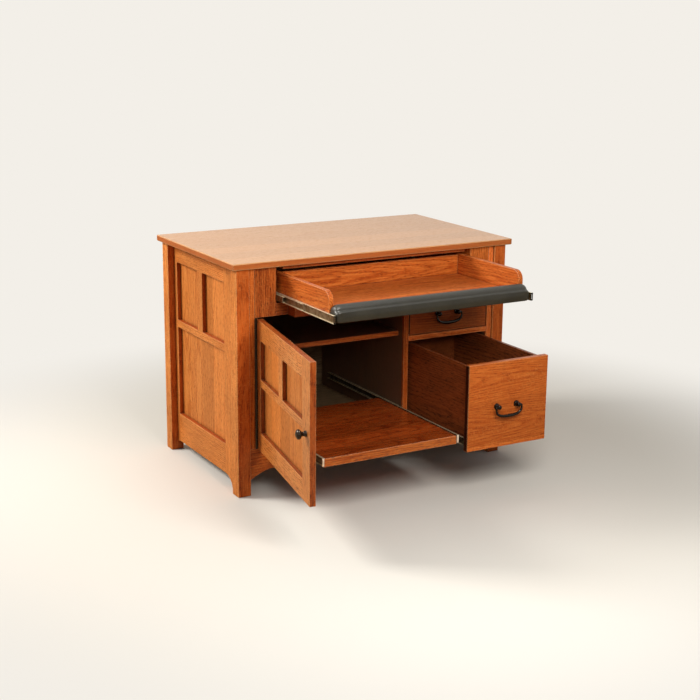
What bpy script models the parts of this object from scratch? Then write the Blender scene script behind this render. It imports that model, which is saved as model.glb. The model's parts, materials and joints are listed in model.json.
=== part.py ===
# Laptop credenza: a quartersawn oak case on four square legs, with a pull-out laptop tray,
# a door over a sliding shelf, a small drawer and a file drawer.
# Metres, +Z up, +Y to the back. The stored pose is the photographed one.
import math

import bmesh
import bpy
from mathutils import Vector

# Clearances
GAP = 0.0003            # between two pieces that touch
RUN = 0.0008            # between two members of a slide
EASE = 0.0012           # eased edge of a board

# Whole case
WIDTH = 1.067
DEPTH = 0.625
HEIGHT = 0.775
TOP_THICK = 0.0205
BOARD = 0.019           # common board thickness
SHEET = 0.006           # thin panels

# Legs and the two side frames
LEG = 0.0455
LEG_SIDE_INSET = 0.017
LEG_FRONT_INSET = 0.0133
LEG_BACK_INSET = 0.0085
SIDE_SET_IN = 0.0241    # a leg stands this far proud of the side frame
SIDE_FRONT_STILE = 0.1037
SIDE_BACK_STILE = 0.0215
SIDE_MULLION = 0.041
SIDE_TOP_RAIL = 0.067
SIDE_UPPER_PANEL = 0.205
SIDE_MID_RAIL = 0.0255
SIDE_BOTTOM_EDGE = 0.0365
SIDE_BOTTOM_RAIL = 0.1025
SIDE_ARCH_START = 0.055  # from the front leg to the arch's foot
SIDE_ARCH_RUN = 0.060
PANEL_POCKET = 0.0067   # depth of the seat behind a frame
PANEL_LIP = 0.010       # how far a panel reaches behind its frame

# Front of the case
FACE_SETBACK = 0.020    # face plane behind the top's front edge
LINING = 0.0207
APRON_TOP = 0.156
APRON_EDGE = 0.0805
APRON_DROP = 0.030
APRON_ARCH_RUN = 0.085
CHEEK_WIDTH = 0.0768
CHEEK_DEPTH = 0.410
CHEEK_HEIGHT = 0.1622   # below the top's underside, with a gap
TOP_RAIL_HEIGHT = 0.0125
TOP_RAIL_SHORT = 0.024
TRAY_RAIL_HEIGHT = 0.0405
LEDGE_SHORT = 0.041
LEDGE_REACH = 0.050
PARTITION_X = 0.110
DECK_THICK = 0.0178
BACK_SETBACK = 0.021
BACK_BOTTOM = 0.100
UPPER_SHELF_DROP = 0.1095  # below the top of the door's bay
UPPER_SHELF_THICK = 0.016
UPPER_SHELF_SETBACK = 0.034
REVEAL = 0.0015         # gap round the door and the drawer fronts

# Telescoping slides
SLIDE_ROOM = 0.014      # between a moving edge and the wall beside it
SLIDE_METAL = 0.0013
SLIDE_HEIGHT = 0.026
SLIDE_LIP = 0.0060      # how far a moving channel's lips stand out from its web

# Laptop tray
TRAY_TRAVEL = 0.321
TRAY_DROP = 0.1135      # from the top's underside to the tray board's
TRAY_FRONT = 0.301      # front edge of the board, out in front of the top's edge
TRAY_BACK = 0.066
TRAY_SIDE_THICK = 0.016
TRAY_SIDE_HEIGHT = 0.070
TRAY_CORNER = 0.030
TRAY_BACK_SHORT = 0.004
TRAY_SLIDE_FRONT = 0.345
TRAY_SLIDE_LENGTH = 0.410
TRAY_MIDDLE_SETBACK = 0.0365
TRAY_SLIDE_RISE = 0.011 # of a slide's middle above the board's underside
PAD_DEPTH = 0.050
PAD_DROP = 0.003        # below the board's underside
PAD_HEIGHT = 0.058
PAD_ROUND = 0.017
PAD_CROWN = 0.005
PAD_WAIST = 0.0012

# Sliding shelf
SHELF_TRAVEL = 0.377
SHELF_DEPTH = 0.490
SHELF_SETBACK = 0.025   # shut, its front edge lies this far behind the face plane
SHELF_Z = 0.1905
SHELF_THICK = 0.028
SHELF_SLIDE_Z = 0.2085
CLEAT_WIDTH = 0.046
CLEAT_TOP = 0.236

# Door
DOOR_OPEN_DEG = 100.6
DOOR_THICK = 0.019
DOOR_HINGE_STILE = 0.036
DOOR_FREE_STILE = 0.070
DOOR_MULLION = 0.041
DOOR_TOP_RAIL = 0.064
DOOR_UPPER_PANEL = 0.126
DOOR_MID_RAIL = 0.025
DOOR_BOTTOM_RAIL = 0.064
DOOR_POCKET = 0.0055
HINGE_ROOM = 0.0035
LEAF_THICK = 0.0012
LEAF_DEPTH = 0.0180
KNUCKLE_R = 0.0035
KNUCKLES = 13
KNOB_FROM_EDGE = 0.0325
KNOB_DROP = 0.004       # below the door's middle

# Drawers
FRONT_THICK = 0.020
BOX_WALL = 0.012
BOX_BACK = 0.050        # from a shut drawer box to the back panel
FILE_TRAVEL = 0.360
FILE_BOX_RISE = 0.011
FILE_BOX_DROP = 0.008
FILE_SLIDE_Z = 0.186
FILE_PULL_DROP = 0.004  # below the front's middle
SMALL_FRONT = 0.120     # height of its front
SMALL_BOX_DROP = 0.016
SMALL_SIDE_PLAY = 0.002
SMALL_PULL_DROP = 0.055 # below the front's upper edge
BOTTOM_RISE = 0.010

# Pulls and knob: radius, height pairs from the tip to the seat
PULL_SPACING = 0.078
PULL_LEFT = 0.006       # of the fronts' middle
POST_PROFILE = ((0.0, 0.0225), (0.0034, 0.0216), (0.0060, 0.0193), (0.0070, 0.0160), (0.0060, 0.0127),
                (0.0046, 0.0105), (0.0044, 0.0070), (0.0056, 0.0042), (0.0084, 0.0028), (0.0090, 0.0))
POST_AXIS = 0.0160
BAIL_R = 0.0028
BAIL_SWELL = 1.55       # the bail's middle is this many times as thick as its ends
BAIL_PLAY = 0.0003
BAIL_OUT = 0.0115       # from a post to the bail's leg beside it
BAIL_PIN_IN = 0.0025
BAIL_DROP = 0.0325
BAIL_SHOULDER = 0.007   # the bail hangs straight this far before it curves in
BAIL_FULLNESS = 2.6     # 2 would be an ellipse, more is squarer
BAIL_EAR_BEND = 0.0035
KNOB_PROFILE = ((0.0, 0.0320), (0.0060, 0.0314), (0.0110, 0.0294), (0.0143, 0.0264), (0.0155, 0.0228),
                (0.0146, 0.0196), (0.0110, 0.0164), (0.0076, 0.0136), (0.0066, 0.0100), (0.0072, 0.0064),
                (0.0090, 0.0036), (0.0096, 0.0))
TURN_STEPS = 24

# Places that several pieces share
UNDER = HEIGHT - TOP_THICK
LEG_OUT = WIDTH / 2 - LEG_SIDE_INSET
LEG_IN = LEG_OUT - LEG
LEG_FRONT = LEG_FRONT_INSET
LEG_REAR = DEPTH - LEG_BACK_INSET
SIDE_OUT = LEG_OUT - SIDE_SET_IN
SIDE_Y0 = LEG_FRONT + LEG + GAP
SIDE_Y1 = LEG_REAR - LEG - GAP
CASE_X = LEG_IN - GAP
BAY_X = CASE_X - LINING
CHEEK_X = BAY_X - CHEEK_WIDTH
FACE = FACE_SETBACK
BACK_Y = DEPTH - BACK_SETBACK - SHEET
TRAY_X = CHEEK_X - SLIDE_ROOM
CHEEK_BOTTOM = UNDER - GAP - CHEEK_HEIGHT
TRAY_BOARD_Z = UNDER - TRAY_DROP
TRAY_SLIDE_Z = TRAY_BOARD_Z + TRAY_SLIDE_RISE
TRAY_TOP = TRAY_BOARD_Z + BOARD
PAD_Z = TRAY_BOARD_Z - PAD_DROP
LEDGE_TOP = CHEEK_BOTTOM + GAP + TRAY_RAIL_HEIGHT
BAY_BOTTOM = APRON_TOP + REVEAL
BAY_TOP = CHEEK_BOTTOM - REVEAL
DECK_Z = BAY_TOP - SMALL_FRONT - 2 * REVEAL - DECK_THICK
FILE_TOP = DECK_Z - 2 * REVEAL
UPPER_SHELF_TOP = BAY_TOP - UPPER_SHELF_DROP
KNOB_Z = (BAY_BOTTOM + BAY_TOP) / 2 - KNOB_DROP
FILE_PULL_Z = (BAY_BOTTOM + FILE_TOP) / 2 - FILE_PULL_DROP
SMALL_PULL_Z = BAY_TOP - SMALL_PULL_DROP
PART_L = PARTITION_X
PART_R = PARTITION_X + BOARD
SHELF_X0 = -BAY_X + CLEAT_WIDTH + SLIDE_ROOM
SHELF_X1 = PART_L - SLIDE_ROOM
DRAWER_X0 = PART_R + 2 * REVEAL
DRAWER_X1 = BAY_X - 2 * REVEAL
PULL_X = (DRAWER_X0 + DRAWER_X1) / 2 - PULL_LEFT
HINGE_X = -BAY_X + HINGE_ROOM / 2
HINGE_Y = FACE - KNUCKLE_R - GAP
DOOR_X0 = HINGE_ROOM / 2
DOOR_X1 = PART_L - REVEAL - HINGE_X
DOOR_Y0 = FACE - HINGE_Y
DOOR_Y1 = DOOR_Y0 + DOOR_THICK
DOOR_TURN = math.radians(DOOR_OPEN_DEG)


def linear(code):
    """Turn an sRGB hex colour into linear values."""
    values = []
    for k in (0, 2, 4):
        c = int(code[k:k + 2], 16) / 255
        values.append(c / 12.92 if c <= 0.04045 else ((c + 0.055) / 1.055) ** 2.4)
    return (*values, 1.0)


FINISHES = {
    "oak_top": ("d9a878", 0.34, 0.0),
    "oak_side": ("cf8346", 0.42, 0.0),
    "oak_panel": ("c97b3f", 0.44, 0.0),
    "oak_front": ("b4602c", 0.42, 0.0),
    "oak_inside": ("8f4a22", 0.55, 0.0),
    "drawer_box": ("a9693a", 0.55, 0.0),
    "zinc": ("cfc7ac", 0.38, 0.9),
    "bronze": ("211b16", 0.40, 0.8),
    "hinge_steel": ("3b332b", 0.42, 0.8),
    "vinyl": ("2c2d2a", 0.50, 0.0),
}


def clear_scene():
    for obj in list(bpy.data.objects):
        bpy.data.objects.remove(obj, do_unlink=True)


def new_collection(name):
    col = bpy.data.collections.new(name)
    bpy.context.scene.collection.children.link(col)
    return col


clear_scene()
PARTS = new_collection("laptop_credenza")
CUTTERS = new_collection("cutters")


def paint(obj, finish):
    """Give a piece a Principled material of its own."""
    code, rough, metal = FINISHES[finish]
    mat = bpy.data.materials.new(obj.name + "_" + finish)
    mat.use_nodes = True
    shader = mat.node_tree.nodes["Principled BSDF"]
    shader.inputs["Base Color"].default_value = linear(code)
    shader.inputs["Roughness"].default_value = rough
    shader.inputs["Metallic"].default_value = metal
    mat.diffuse_color = linear(code)
    obj.data.materials.clear()
    obj.data.materials.append(mat)


def place(obj, finish, parent):
    PARTS.objects.link(obj)
    obj.parent = parent
    paint(obj, finish)
    return obj


def empty(name, location, parent=None, turn=0.0):
    obj = bpy.data.objects.new(name, None)
    obj.empty_display_size = 0.05
    obj.location = location
    obj.rotation_euler[2] = turn
    obj.parent = parent
    PARTS.objects.link(obj)
    return obj


def box_mesh(name, lo, hi):
    """A box mesh centred on its own origin."""
    bm = bmesh.new()
    bmesh.ops.create_cube(bm, size=1.0)
    size = Vector(hi) - Vector(lo)
    bmesh.ops.scale(bm, vec=size, verts=bm.verts)
    mesh = bpy.data.meshes.new(name)
    bm.to_mesh(mesh)
    bm.free()
    return mesh


def board(name, lo, hi, finish, parent, ease=EASE):
    """A board between two corners, with eased edges."""
    obj = bpy.data.objects.new(name, box_mesh(name, lo, hi))
    obj.location = (Vector(lo) + Vector(hi)) / 2
    mod = obj.modifiers.new("eased", "BEVEL")
    mod.width = ease
    mod.segments = 1
    return place(obj, finish, parent)


def outline_mesh(name, outlines, thickness):
    """A flat outline, with any holes, thickened about its own plane."""
    curve = bpy.data.curves.new(name + "_outline", "CURVE")
    curve.dimensions = "2D"
    curve.fill_mode = "BOTH"
    curve.extrude = thickness / 2
    for points in outlines:
        spline = curve.splines.new("POLY")
        spline.points.add(len(points) - 1)
        for point, (u, v) in zip(spline.points, points):
            point.co = (u, v, 0.0, 1.0)
        spline.use_cyclic_u = True
    holder = bpy.data.objects.new(name + "_outline", curve)
    mesh = bpy.data.meshes.new_from_object(holder)
    bpy.data.objects.remove(holder, do_unlink=True)
    bm = bmesh.new()
    bm.from_mesh(mesh)
    bmesh.ops.remove_doubles(bm, verts=bm.verts, dist=0.00002)
    bmesh.ops.recalc_face_normals(bm, faces=bm.faces)
    bm.to_mesh(mesh)
    bm.free()
    mesh.name = name
    return mesh


TURNS = {
    "XY": (0.0, 0.0, 0.0),
    "XZ": (math.pi / 2, 0.0, 0.0),
    "YZ": (math.pi / 2, 0.0, math.pi / 2),
}


def prism(name, outlines, span, plane, finish, parent):
    """An outline in the XY, XZ or YZ plane, run along the third axis between two places."""
    obj = bpy.data.objects.new(name, outline_mesh(name, outlines, span[1] - span[0]))
    middle = (span[0] + span[1]) / 2
    obj.rotation_euler = TURNS[plane]
    obj.location = {"XY": (0, 0, middle), "XZ": (0, middle, 0), "YZ": (middle, 0, 0)}[plane]
    return place(obj, finish, parent)


def cut(obj, mesh, location, turn=(0.0, 0.0, 0.0)):
    """Take a shape out of a piece that shares its parent."""
    cutter = bpy.data.objects.new(obj.name + "_cutter", mesh)
    cutter.location = location
    cutter.rotation_euler = turn
    cutter.parent = obj.parent
    cutter.hide_render = True
    cutter.display_type = "WIRE"
    CUTTERS.objects.link(cutter)
    mod = obj.modifiers.new("cut", "BOOLEAN")
    mod.operation = "DIFFERENCE"
    mod.solver = "EXACT"
    mod.object = cutter


def cut_lights(frame, lights, span, plane):
    """Cut a frame's openings right through it."""
    bm = bmesh.new()
    for points in lights:
        (u0, v0), (u1, v1) = points[0], points[2]
        size = (u1 - u0, v1 - v0, span[1] - span[0])
        made = bmesh.ops.create_cube(bm, size=1.0)["verts"]
        bmesh.ops.scale(bm, vec=size, verts=made)
        bmesh.ops.translate(bm, vec=((u0 + u1) / 2, (v0 + v1) / 2, 0.0), verts=made)
    mesh = bpy.data.meshes.new(frame.name + "_lights")
    bm.to_mesh(mesh)
    bm.free()
    cut(frame, mesh, frame.location, TURNS[plane])


def rectangle(u0, u1, v0, v1):
    return [(u0, v0), (u1, v0), (u1, v1), (u0, v1)]


def turned(name, profile, location, turn, finish, parent):
    """A turned piece whose profile stands on local Z."""
    bm = bmesh.new()
    verts = [bm.verts.new((r, 0.0, h)) for r, h in profile]
    verts.append(bm.verts.new((0.0, 0.0, profile[-1][1])))
    for a, b in zip(verts, verts[1:]):
        bm.edges.new((a, b))
    mesh = bpy.data.meshes.new(name)
    bm.to_mesh(mesh)
    bm.free()
    obj = bpy.data.objects.new(name, mesh)
    obj.location = location
    obj.rotation_euler = turn
    mod = obj.modifiers.new("turned", "SCREW")
    mod.axis = "Z"
    mod.steps = TURN_STEPS
    mod.render_steps = TURN_STEPS
    mod.use_merge_vertices = True
    mod.merge_threshold = 0.00005
    mod.use_normal_calculate = True
    mod.use_smooth_shade = True
    return place(obj, finish, parent)


def arc(centre, radius, start, end, steps):
    """Points of an arc, angles in degrees."""
    points = []
    for k in range(steps + 1):
        a = math.radians(start + (end - start) * k / steps)
        points.append((centre[0] + radius * math.cos(a), centre[1] + radius * math.sin(a)))
    return points


def rod(name, points, radius, location, finish, parent):
    """A round bar along points in the XZ plane, each with its share of the radius."""
    curve = bpy.data.curves.new(name, "CURVE")
    curve.dimensions = "3D"
    curve.bevel_depth = radius
    curve.bevel_resolution = 3
    curve.use_fill_caps = True
    spline = curve.splines.new("POLY")
    spline.points.add(len(points) - 1)
    for point, (u, v, share) in zip(spline.points, points):
        point.co = (u, 0.0, v, 1.0)
        point.radius = share
    obj = bpy.data.objects.new(name, curve)
    obj.location = location
    return place(obj, finish, parent)


# The case
def build_case(root):
    board("top_panel", (-WIDTH / 2, 0, UNDER), (WIDTH / 2, DEPTH, HEIGHT), "oak_top", root, 2 * EASE)
    leg_top = UNDER - GAP
    for side, sign in (("left", -1), ("right", 1)):
        x0, x1 = sorted((sign * LEG_IN, sign * LEG_OUT))
        for end, y0 in (("front", LEG_FRONT), ("rear", LEG_REAR - LEG)):
            lo = (x0, y0, 0)
            hi = (x1, y0 + LEG, leg_top)
            board(side + "_" + end + "_leg", lo, hi, "oak_side", root, EASE)
        build_side(side, sign, leg_top, root)
        x0, x1 = sorted((sign * CASE_X, sign * BAY_X))
        lo = (x0, FACE, APRON_TOP + GAP)
        board(side + "_lining", lo, (x1, BACK_Y - GAP, leg_top), "oak_front", root)
        build_cheek(side, sign, leg_top, root)
    build_apron(root)
    top_rail_x = CHEEK_X - TOP_RAIL_SHORT
    lo = (-top_rail_x, FACE, leg_top - TOP_RAIL_HEIGHT)
    board("top_rail", lo, (top_rail_x, FACE + BOARD, leg_top), "oak_front", root)
    build_tray_rail(root)
    inside_back = BACK_Y - GAP
    lo = (PART_L, FACE, APRON_TOP + GAP)
    board("partition", lo, (PART_R, inside_back, CHEEK_BOTTOM), "oak_front", root)
    lo = (PART_R + GAP, FACE, DECK_Z)
    board("drawer_deck", lo, (BAY_X - GAP, inside_back, DECK_Z + DECK_THICK), "oak_front", root)
    lo = (-CASE_X, BACK_Y, BACK_BOTTOM)
    board("back_panel", lo, (CASE_X, BACK_Y + SHEET, leg_top), "oak_inside", root, EASE / 2)
    lo = (-CASE_X, FACE + BOARD + GAP, APRON_TOP - BOARD)
    board("floor_panel", lo, (CASE_X, inside_back, APRON_TOP), "oak_inside", root)
    lo = (-BAY_X + GAP, FACE + UPPER_SHELF_SETBACK, UPPER_SHELF_TOP - UPPER_SHELF_THICK)
    board("upper_shelf", lo, (PART_L - GAP, inside_back, UPPER_SHELF_TOP), "oak_inside", root)
    lo = (-BAY_X + GAP, FACE + SHELF_SETBACK, APRON_TOP + GAP)
    board("shelf_cleat", lo, (-BAY_X + CLEAT_WIDTH, inside_back, CLEAT_TOP), "oak_inside", root)


def build_side(side, sign, leg_top, root):
    """A side frame with its arched foot, and the panel seated behind it."""
    panel_y0 = SIDE_Y0 + SIDE_FRONT_STILE
    panel_y1 = SIDE_Y1 - SIDE_BACK_STILE
    upper_z1 = leg_top - SIDE_TOP_RAIL
    upper_z0 = upper_z1 - SIDE_UPPER_PANEL
    lower_z1 = upper_z0 - SIDE_MID_RAIL
    lower_z0 = SIDE_BOTTOM_EDGE + SIDE_BOTTOM_RAIL
    middle = (panel_y0 + panel_y1) / 2
    arch_y0 = SIDE_Y0 + SIDE_ARCH_START
    arch_y1 = 2 * middle - arch_y0
    outline = [(SIDE_Y0, leg_top), (SIDE_Y0, 0.0)]
    steps = 10
    for k in range(steps + 1):
        a = math.pi / 2 * k / steps
        y = arch_y0 + SIDE_ARCH_RUN * (1 - math.cos(a))
        outline.append((y, SIDE_BOTTOM_EDGE * math.sin(a)))
    for k in range(steps + 1):
        a = math.pi / 2 * (1 - k / steps)
        y = arch_y1 - SIDE_ARCH_RUN * (1 - math.cos(a))
        if y < SIDE_Y1:
            outline.append((y, SIDE_BOTTOM_EDGE * math.sin(a)))
    reach = max(-1.0, min(1.0, 1 - (arch_y1 - SIDE_Y1) / SIDE_ARCH_RUN))
    outline.append((SIDE_Y1, SIDE_BOTTOM_EDGE * math.sin(math.acos(reach))))
    outline.append((SIDE_Y1, leg_top))
    lights = [
        rectangle(panel_y0, panel_y1, lower_z0, lower_z1),
        rectangle(panel_y0, middle - SIDE_MULLION / 2, upper_z0, upper_z1),
        rectangle(middle + SIDE_MULLION / 2, panel_y1, upper_z0, upper_z1),
    ]
    span = sorted((sign * LEG_IN, sign * SIDE_OUT))
    frame = prism(side + "_side_frame", [outline], span, "YZ", "oak_side", root)
    cut_lights(frame, lights, (span[0] - PANEL_POCKET, span[1] + PANEL_POCKET), "YZ")
    seat_y0 = panel_y0 - PANEL_LIP
    seat_y1 = panel_y1 + PANEL_LIP
    seat_z0 = lower_z0 - PANEL_LIP
    seat_z1 = upper_z1 + PANEL_LIP
    spare = PANEL_POCKET
    x0, x1 = sorted((sign * (LEG_IN - spare), sign * (LEG_IN + PANEL_POCKET)))
    lo = Vector((x0, seat_y0, seat_z0))
    hi = Vector((x1, seat_y1, seat_z1))
    cut(frame, box_mesh(frame.name + "_seat", lo, hi), (lo + hi) / 2)
    x0, x1 = sorted((sign * (LEG_IN + GAP), sign * (LEG_IN + PANEL_POCKET - GAP)))
    lo = (x0, seat_y0 + GAP, seat_z0 + GAP)
    hi = (x1, seat_y1 - GAP, seat_z1 - GAP)
    board(side + "_side_panel", lo, hi, "oak_panel", root, EASE / 2)


def build_cheek(side, sign, leg_top, root):
    """The block beside the tray, with the board behind it that carries a slide."""
    outline = [
        (sign * CHEEK_X, FACE), (sign * (BAY_X - GAP), FACE), (sign * (BAY_X - GAP), FACE + BOARD),
        (sign * (CHEEK_X + BOARD), FACE + BOARD), (sign * (CHEEK_X + BOARD), FACE + CHEEK_DEPTH),
        (sign * CHEEK_X, FACE + CHEEK_DEPTH),
    ]
    span = (CHEEK_BOTTOM + GAP, leg_top)
    prism(side + "_tray_cheek", [outline], span, "XY", "oak_front", root)


def build_apron(root):
    """The bottom rail of the front, whose lower edge dips at both legs."""
    steps = 10
    edge = []
    for k in range(steps + 1):
        t = k / steps
        rise = APRON_DROP * (1 - math.sin(math.pi / 2 * t))
        edge.append((CASE_X - APRON_ARCH_RUN * t, APRON_EDGE - rise))
    outline = [(CASE_X, APRON_TOP)] + edge + [(-x, z) for x, z in reversed(edge)] + [(-CASE_X, APRON_TOP)]
    prism("front_apron", [outline], (FACE, FACE + BOARD), "XZ", "oak_front", root)


def build_tray_rail(root):
    """The rail under the tray with its ledge, which the shut pad stands over."""
    x = CHEEK_X - GAP
    ledge_x = x - LEDGE_SHORT
    front = FACE - LEDGE_REACH
    outline = [
        (-x, FACE + EASE), (-ledge_x, FACE + EASE), (-ledge_x, front), (ledge_x, front),
        (ledge_x, FACE + EASE), (x, FACE + EASE), (x, FACE + BOARD), (-x, FACE + BOARD),
    ]
    prism("tray_rail", [outline], (CHEEK_BOTTOM + GAP, LEDGE_TOP), "XY", "oak_front", root)


# Slides: channels nested in one another, the widest on the moving edge
def channel(name, sign, web, tips, half, span, z, parent):
    """A C section run along Y. web and tips are places across, half is half its height."""
    metal = math.copysign(SLIDE_METAL, tips - web)
    inner = half - SLIDE_METAL
    points = [(web, -half), (tips, -half), (tips, -inner), (web + metal, -inner),
              (web + metal, inner), (tips, inner), (tips, half), (web, half)]
    outline = [(sign * u, z + v) for u, v in points]
    prism(name, [outline], span, "XZ", "zinc", parent)


def slide_set(stem, side, edge, sign, z, spans, parents):
    """The members of one slide: moving, then any middle one, then the fixed one.

    edge is the moving edge's place across, and sign the way from it to the wall."""
    start = edge * sign + GAP
    wall = edge * sign + SLIDE_ROOM - GAP
    half = SLIDE_HEIGHT / 2
    step = SLIDE_METAL + RUN
    moving = stem + "_" + side + "_moving_channel"
    channel(moving, sign, start, start + SLIDE_LIP, half, spans[0], z, parents[0])
    web = start + step
    half -= step
    if len(spans) == 3:
        middle = stem + "_" + side + "_middle_channel"
        channel(middle, sign, web, web + SLIDE_LIP, half, spans[1], z, parents[1])
        web += step
        half -= step
    channel(stem + "_" + side + "_fixed_channel", sign, wall, web, half, spans[-1], z, parents[-1])


# Laptop tray, drawn shut and set out by its empties
def build_tray(root):
    tray = empty("tray_slide", (0, -TRAY_TRAVEL, 0), root)
    middle = empty("tray_middle_slide", (0, -TRAY_TRAVEL / 2, 0), root)
    front = TRAY_TRAVEL - TRAY_FRONT
    back = TRAY_TRAVEL + TRAY_BACK
    inner = TRAY_X - TRAY_SIDE_THICK
    back_face = back - TRAY_SIDE_THICK
    lo = (-inner + GAP, front, TRAY_BOARD_Z)
    board("tray_board", lo, (inner - GAP, back_face - GAP, TRAY_TOP), "oak_top", tray)
    z0 = TRAY_BOARD_Z
    z1 = TRAY_TOP + TRAY_SIDE_HEIGHT
    corner = arc((front + TRAY_CORNER, z1 - TRAY_CORNER), TRAY_CORNER, 180, 90, 8)
    outline = [(back, z1), (back, z0), (front, z0)] + corner
    for side, sign in (("left", -1), ("right", 1)):
        span = sorted((sign * inner, sign * TRAY_X))
        prism("tray_" + side + "_side", [outline], span, "YZ", "oak_top", tray)
        slide_front = TRAY_TRAVEL - TRAY_SLIDE_FRONT
        slide_back = slide_front + TRAY_SLIDE_LENGTH
        moving = (slide_front, slide_back)
        between = (slide_front + TRAY_MIDDLE_SETBACK, slide_back)
        spans = (moving, between, moving)
        slide_set("tray", side, sign * TRAY_X, sign, TRAY_SLIDE_Z, spans, (tray, middle, root))
    lo = (-inner + GAP, back_face, z0)
    board("tray_back", lo, (inner - GAP, back, z1 - TRAY_BACK_SHORT), "oak_top", tray)
    build_pad(front - GAP, tray)


def build_pad(back, tray):
    """The padded wrist rest: flat against the board, rounded and crowned on top."""
    bm = bmesh.new()
    bmesh.ops.create_cube(bm, size=2.0)
    bmesh.ops.subdivide_edges(bm, edges=bm.edges, cuts=11, use_grid_fill=True)
    half = Vector((TRAY_X, PAD_DEPTH / 2, PAD_HEIGHT / 2))
    for vert in bm.verts:
        u, v, w = (math.sin(math.pi / 2 * c) for c in vert.co)
        point = Vector((u * half.x, v * half.y, w * half.z))
        core = Vector((max(-half.x + PAD_ROUND, min(half.x - PAD_ROUND, point.x)),
                       max(-half.y + PAD_ROUND, point.y),
                       min(half.z - PAD_CROWN - PAD_ROUND, point.z)))
        away = point - core
        if min(abs(away.x) + abs(away.y), abs(away.x) + abs(away.z), abs(away.y) + abs(away.z)) > 0:
            point = core + away.normalized() * min(away.length, PAD_ROUND)
        elif away.z > 0:
            point = core + Vector((0.0, 0.0, PAD_ROUND))
        rise = max(0.0, (point.z + half.z) / PAD_HEIGHT)
        point.z += PAD_CROWN * rise * (1 - v * v) * (1 - u ** 4)
        point.y += PAD_WAIST * max(0.0, -v) * (1 - w * w)
        vert.co = point
    for face in bm.faces:
        face.smooth = True
    mesh = bpy.data.meshes.new("wrist_pad")
    bm.to_mesh(mesh)
    bm.free()
    obj = bpy.data.objects.new("wrist_pad", mesh)
    obj.location = (0, back - half.y, PAD_Z + half.z)
    place(obj, "vinyl", tray)


# Sliding shelf behind the door
def build_shelf(root):
    shelf = empty("shelf_slide", (0, -SHELF_TRAVEL, 0), root)
    front = FACE + SHELF_SETBACK
    back = front + SHELF_DEPTH
    board("sliding_shelf", (SHELF_X0, front, SHELF_Z), (SHELF_X1, back, SHELF_Z + SHELF_THICK), "oak_front",
          shelf)
    spans = ((front, back), (front, back))
    slide_set("shelf", "left", SHELF_X0, -1, SHELF_SLIDE_Z, spans, (shelf, root))
    slide_set("shelf", "right", SHELF_X1, 1, SHELF_SLIDE_Z, spans, (shelf, root))


# Door, drawn shut about its hinge line and turned open by the empty
def build_door(root):
    hinge = empty("door_hinge_axis", (HINGE_X, HINGE_Y, 0), root, -DOOR_TURN)
    z0 = BAY_BOTTOM
    z1 = BAY_TOP
    panel_x0 = DOOR_X0 + DOOR_HINGE_STILE
    panel_x1 = DOOR_X1 - DOOR_FREE_STILE
    middle = (panel_x0 + panel_x1) / 2
    upper_z1 = z1 - DOOR_TOP_RAIL
    upper_z0 = upper_z1 - DOOR_UPPER_PANEL
    lower_z1 = upper_z0 - DOOR_MID_RAIL
    lower_z0 = z0 + DOOR_BOTTOM_RAIL
    lights = [
        rectangle(panel_x0, panel_x1, lower_z0, lower_z1),
        rectangle(panel_x0, middle - DOOR_MULLION / 2, upper_z0, upper_z1),
        rectangle(middle + DOOR_MULLION / 2, panel_x1, upper_z0, upper_z1),
    ]
    outline = rectangle(DOOR_X0, DOOR_X1, z0, z1)
    frame = prism("door_frame", [outline], (DOOR_Y0, DOOR_Y1), "XZ", "oak_front", hinge)
    cut_lights(frame, lights, (DOOR_Y0 - DOOR_POCKET, DOOR_Y1 + DOOR_POCKET), "XZ")
    lo = Vector((panel_x0 - PANEL_LIP, DOOR_Y1 - DOOR_POCKET, lower_z0 - PANEL_LIP))
    hi = Vector((panel_x1 + PANEL_LIP, DOOR_Y1 + DOOR_POCKET, upper_z1 + PANEL_LIP))
    cut(frame, box_mesh("door_seat", lo, hi), (lo + hi) / 2)
    inset = Vector((GAP, GAP, GAP))
    hi.y = DOOR_Y1
    board("door_panel", lo + inset, hi - inset, "oak_panel", hinge, EASE / 2)
    tip = (DOOR_X1 - KNOB_FROM_EDGE, DOOR_Y0 - GAP, KNOB_Z)
    turned("door_knob", KNOB_PROFILE, tip, (math.pi / 2, 0, 0), "bronze", hinge)
    case_side = empty("case_leaf_place", (HINGE_X, HINGE_Y, 0), root)
    build_leaf("hinge_case_leaf", -1, 0, z0, z1, case_side)
    build_leaf("hinge_door_leaf", 1, 1, z0, z1, hinge)


def build_leaf(name, sign, first, z0, z1, parent):
    """One leaf of the long hinge. Its knuckles take every other place along the pin."""
    outer = HINGE_ROOM / 2 - GAP
    inner = outer - LEAF_THICK
    reach = DOOR_Y0 + LEAF_DEPTH
    a0 = math.degrees(math.acos(outer / KNUCKLE_R))
    a1 = math.degrees(math.acos(inner / KNUCKLE_R)) - 360
    ring = arc((0.0, 0.0), KNUCKLE_R, a0, a1, 16)
    outline = [(sign * u, v) for u, v in [(inner, reach), (outer, reach)] + ring]
    obj = prism(name, [outline], (z0, z1), "XY", "hinge_steel", parent)
    pitch = (z1 - z0) / KNUCKLES
    low = -2 * KNUCKLE_R
    high = KNUCKLE_R + GAP
    bm = bmesh.new()
    for k in range(KNUCKLES):
        if k % 2 == first:
            continue
        tall = pitch + 2 * GAP
        made = bmesh.ops.create_cube(bm, size=1.0)["verts"]
        bmesh.ops.scale(bm, vec=(4 * KNUCKLE_R, high - low, tall), verts=made)
        place_at = (0.0, (low + high) / 2, z0 + pitch * (k + 0.5))
        bmesh.ops.translate(bm, vec=place_at, verts=made)
    mesh = bpy.data.meshes.new(name + "_places")
    bm.to_mesh(mesh)
    bm.free()
    cut(obj, mesh, (0, 0, 0))


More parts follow.
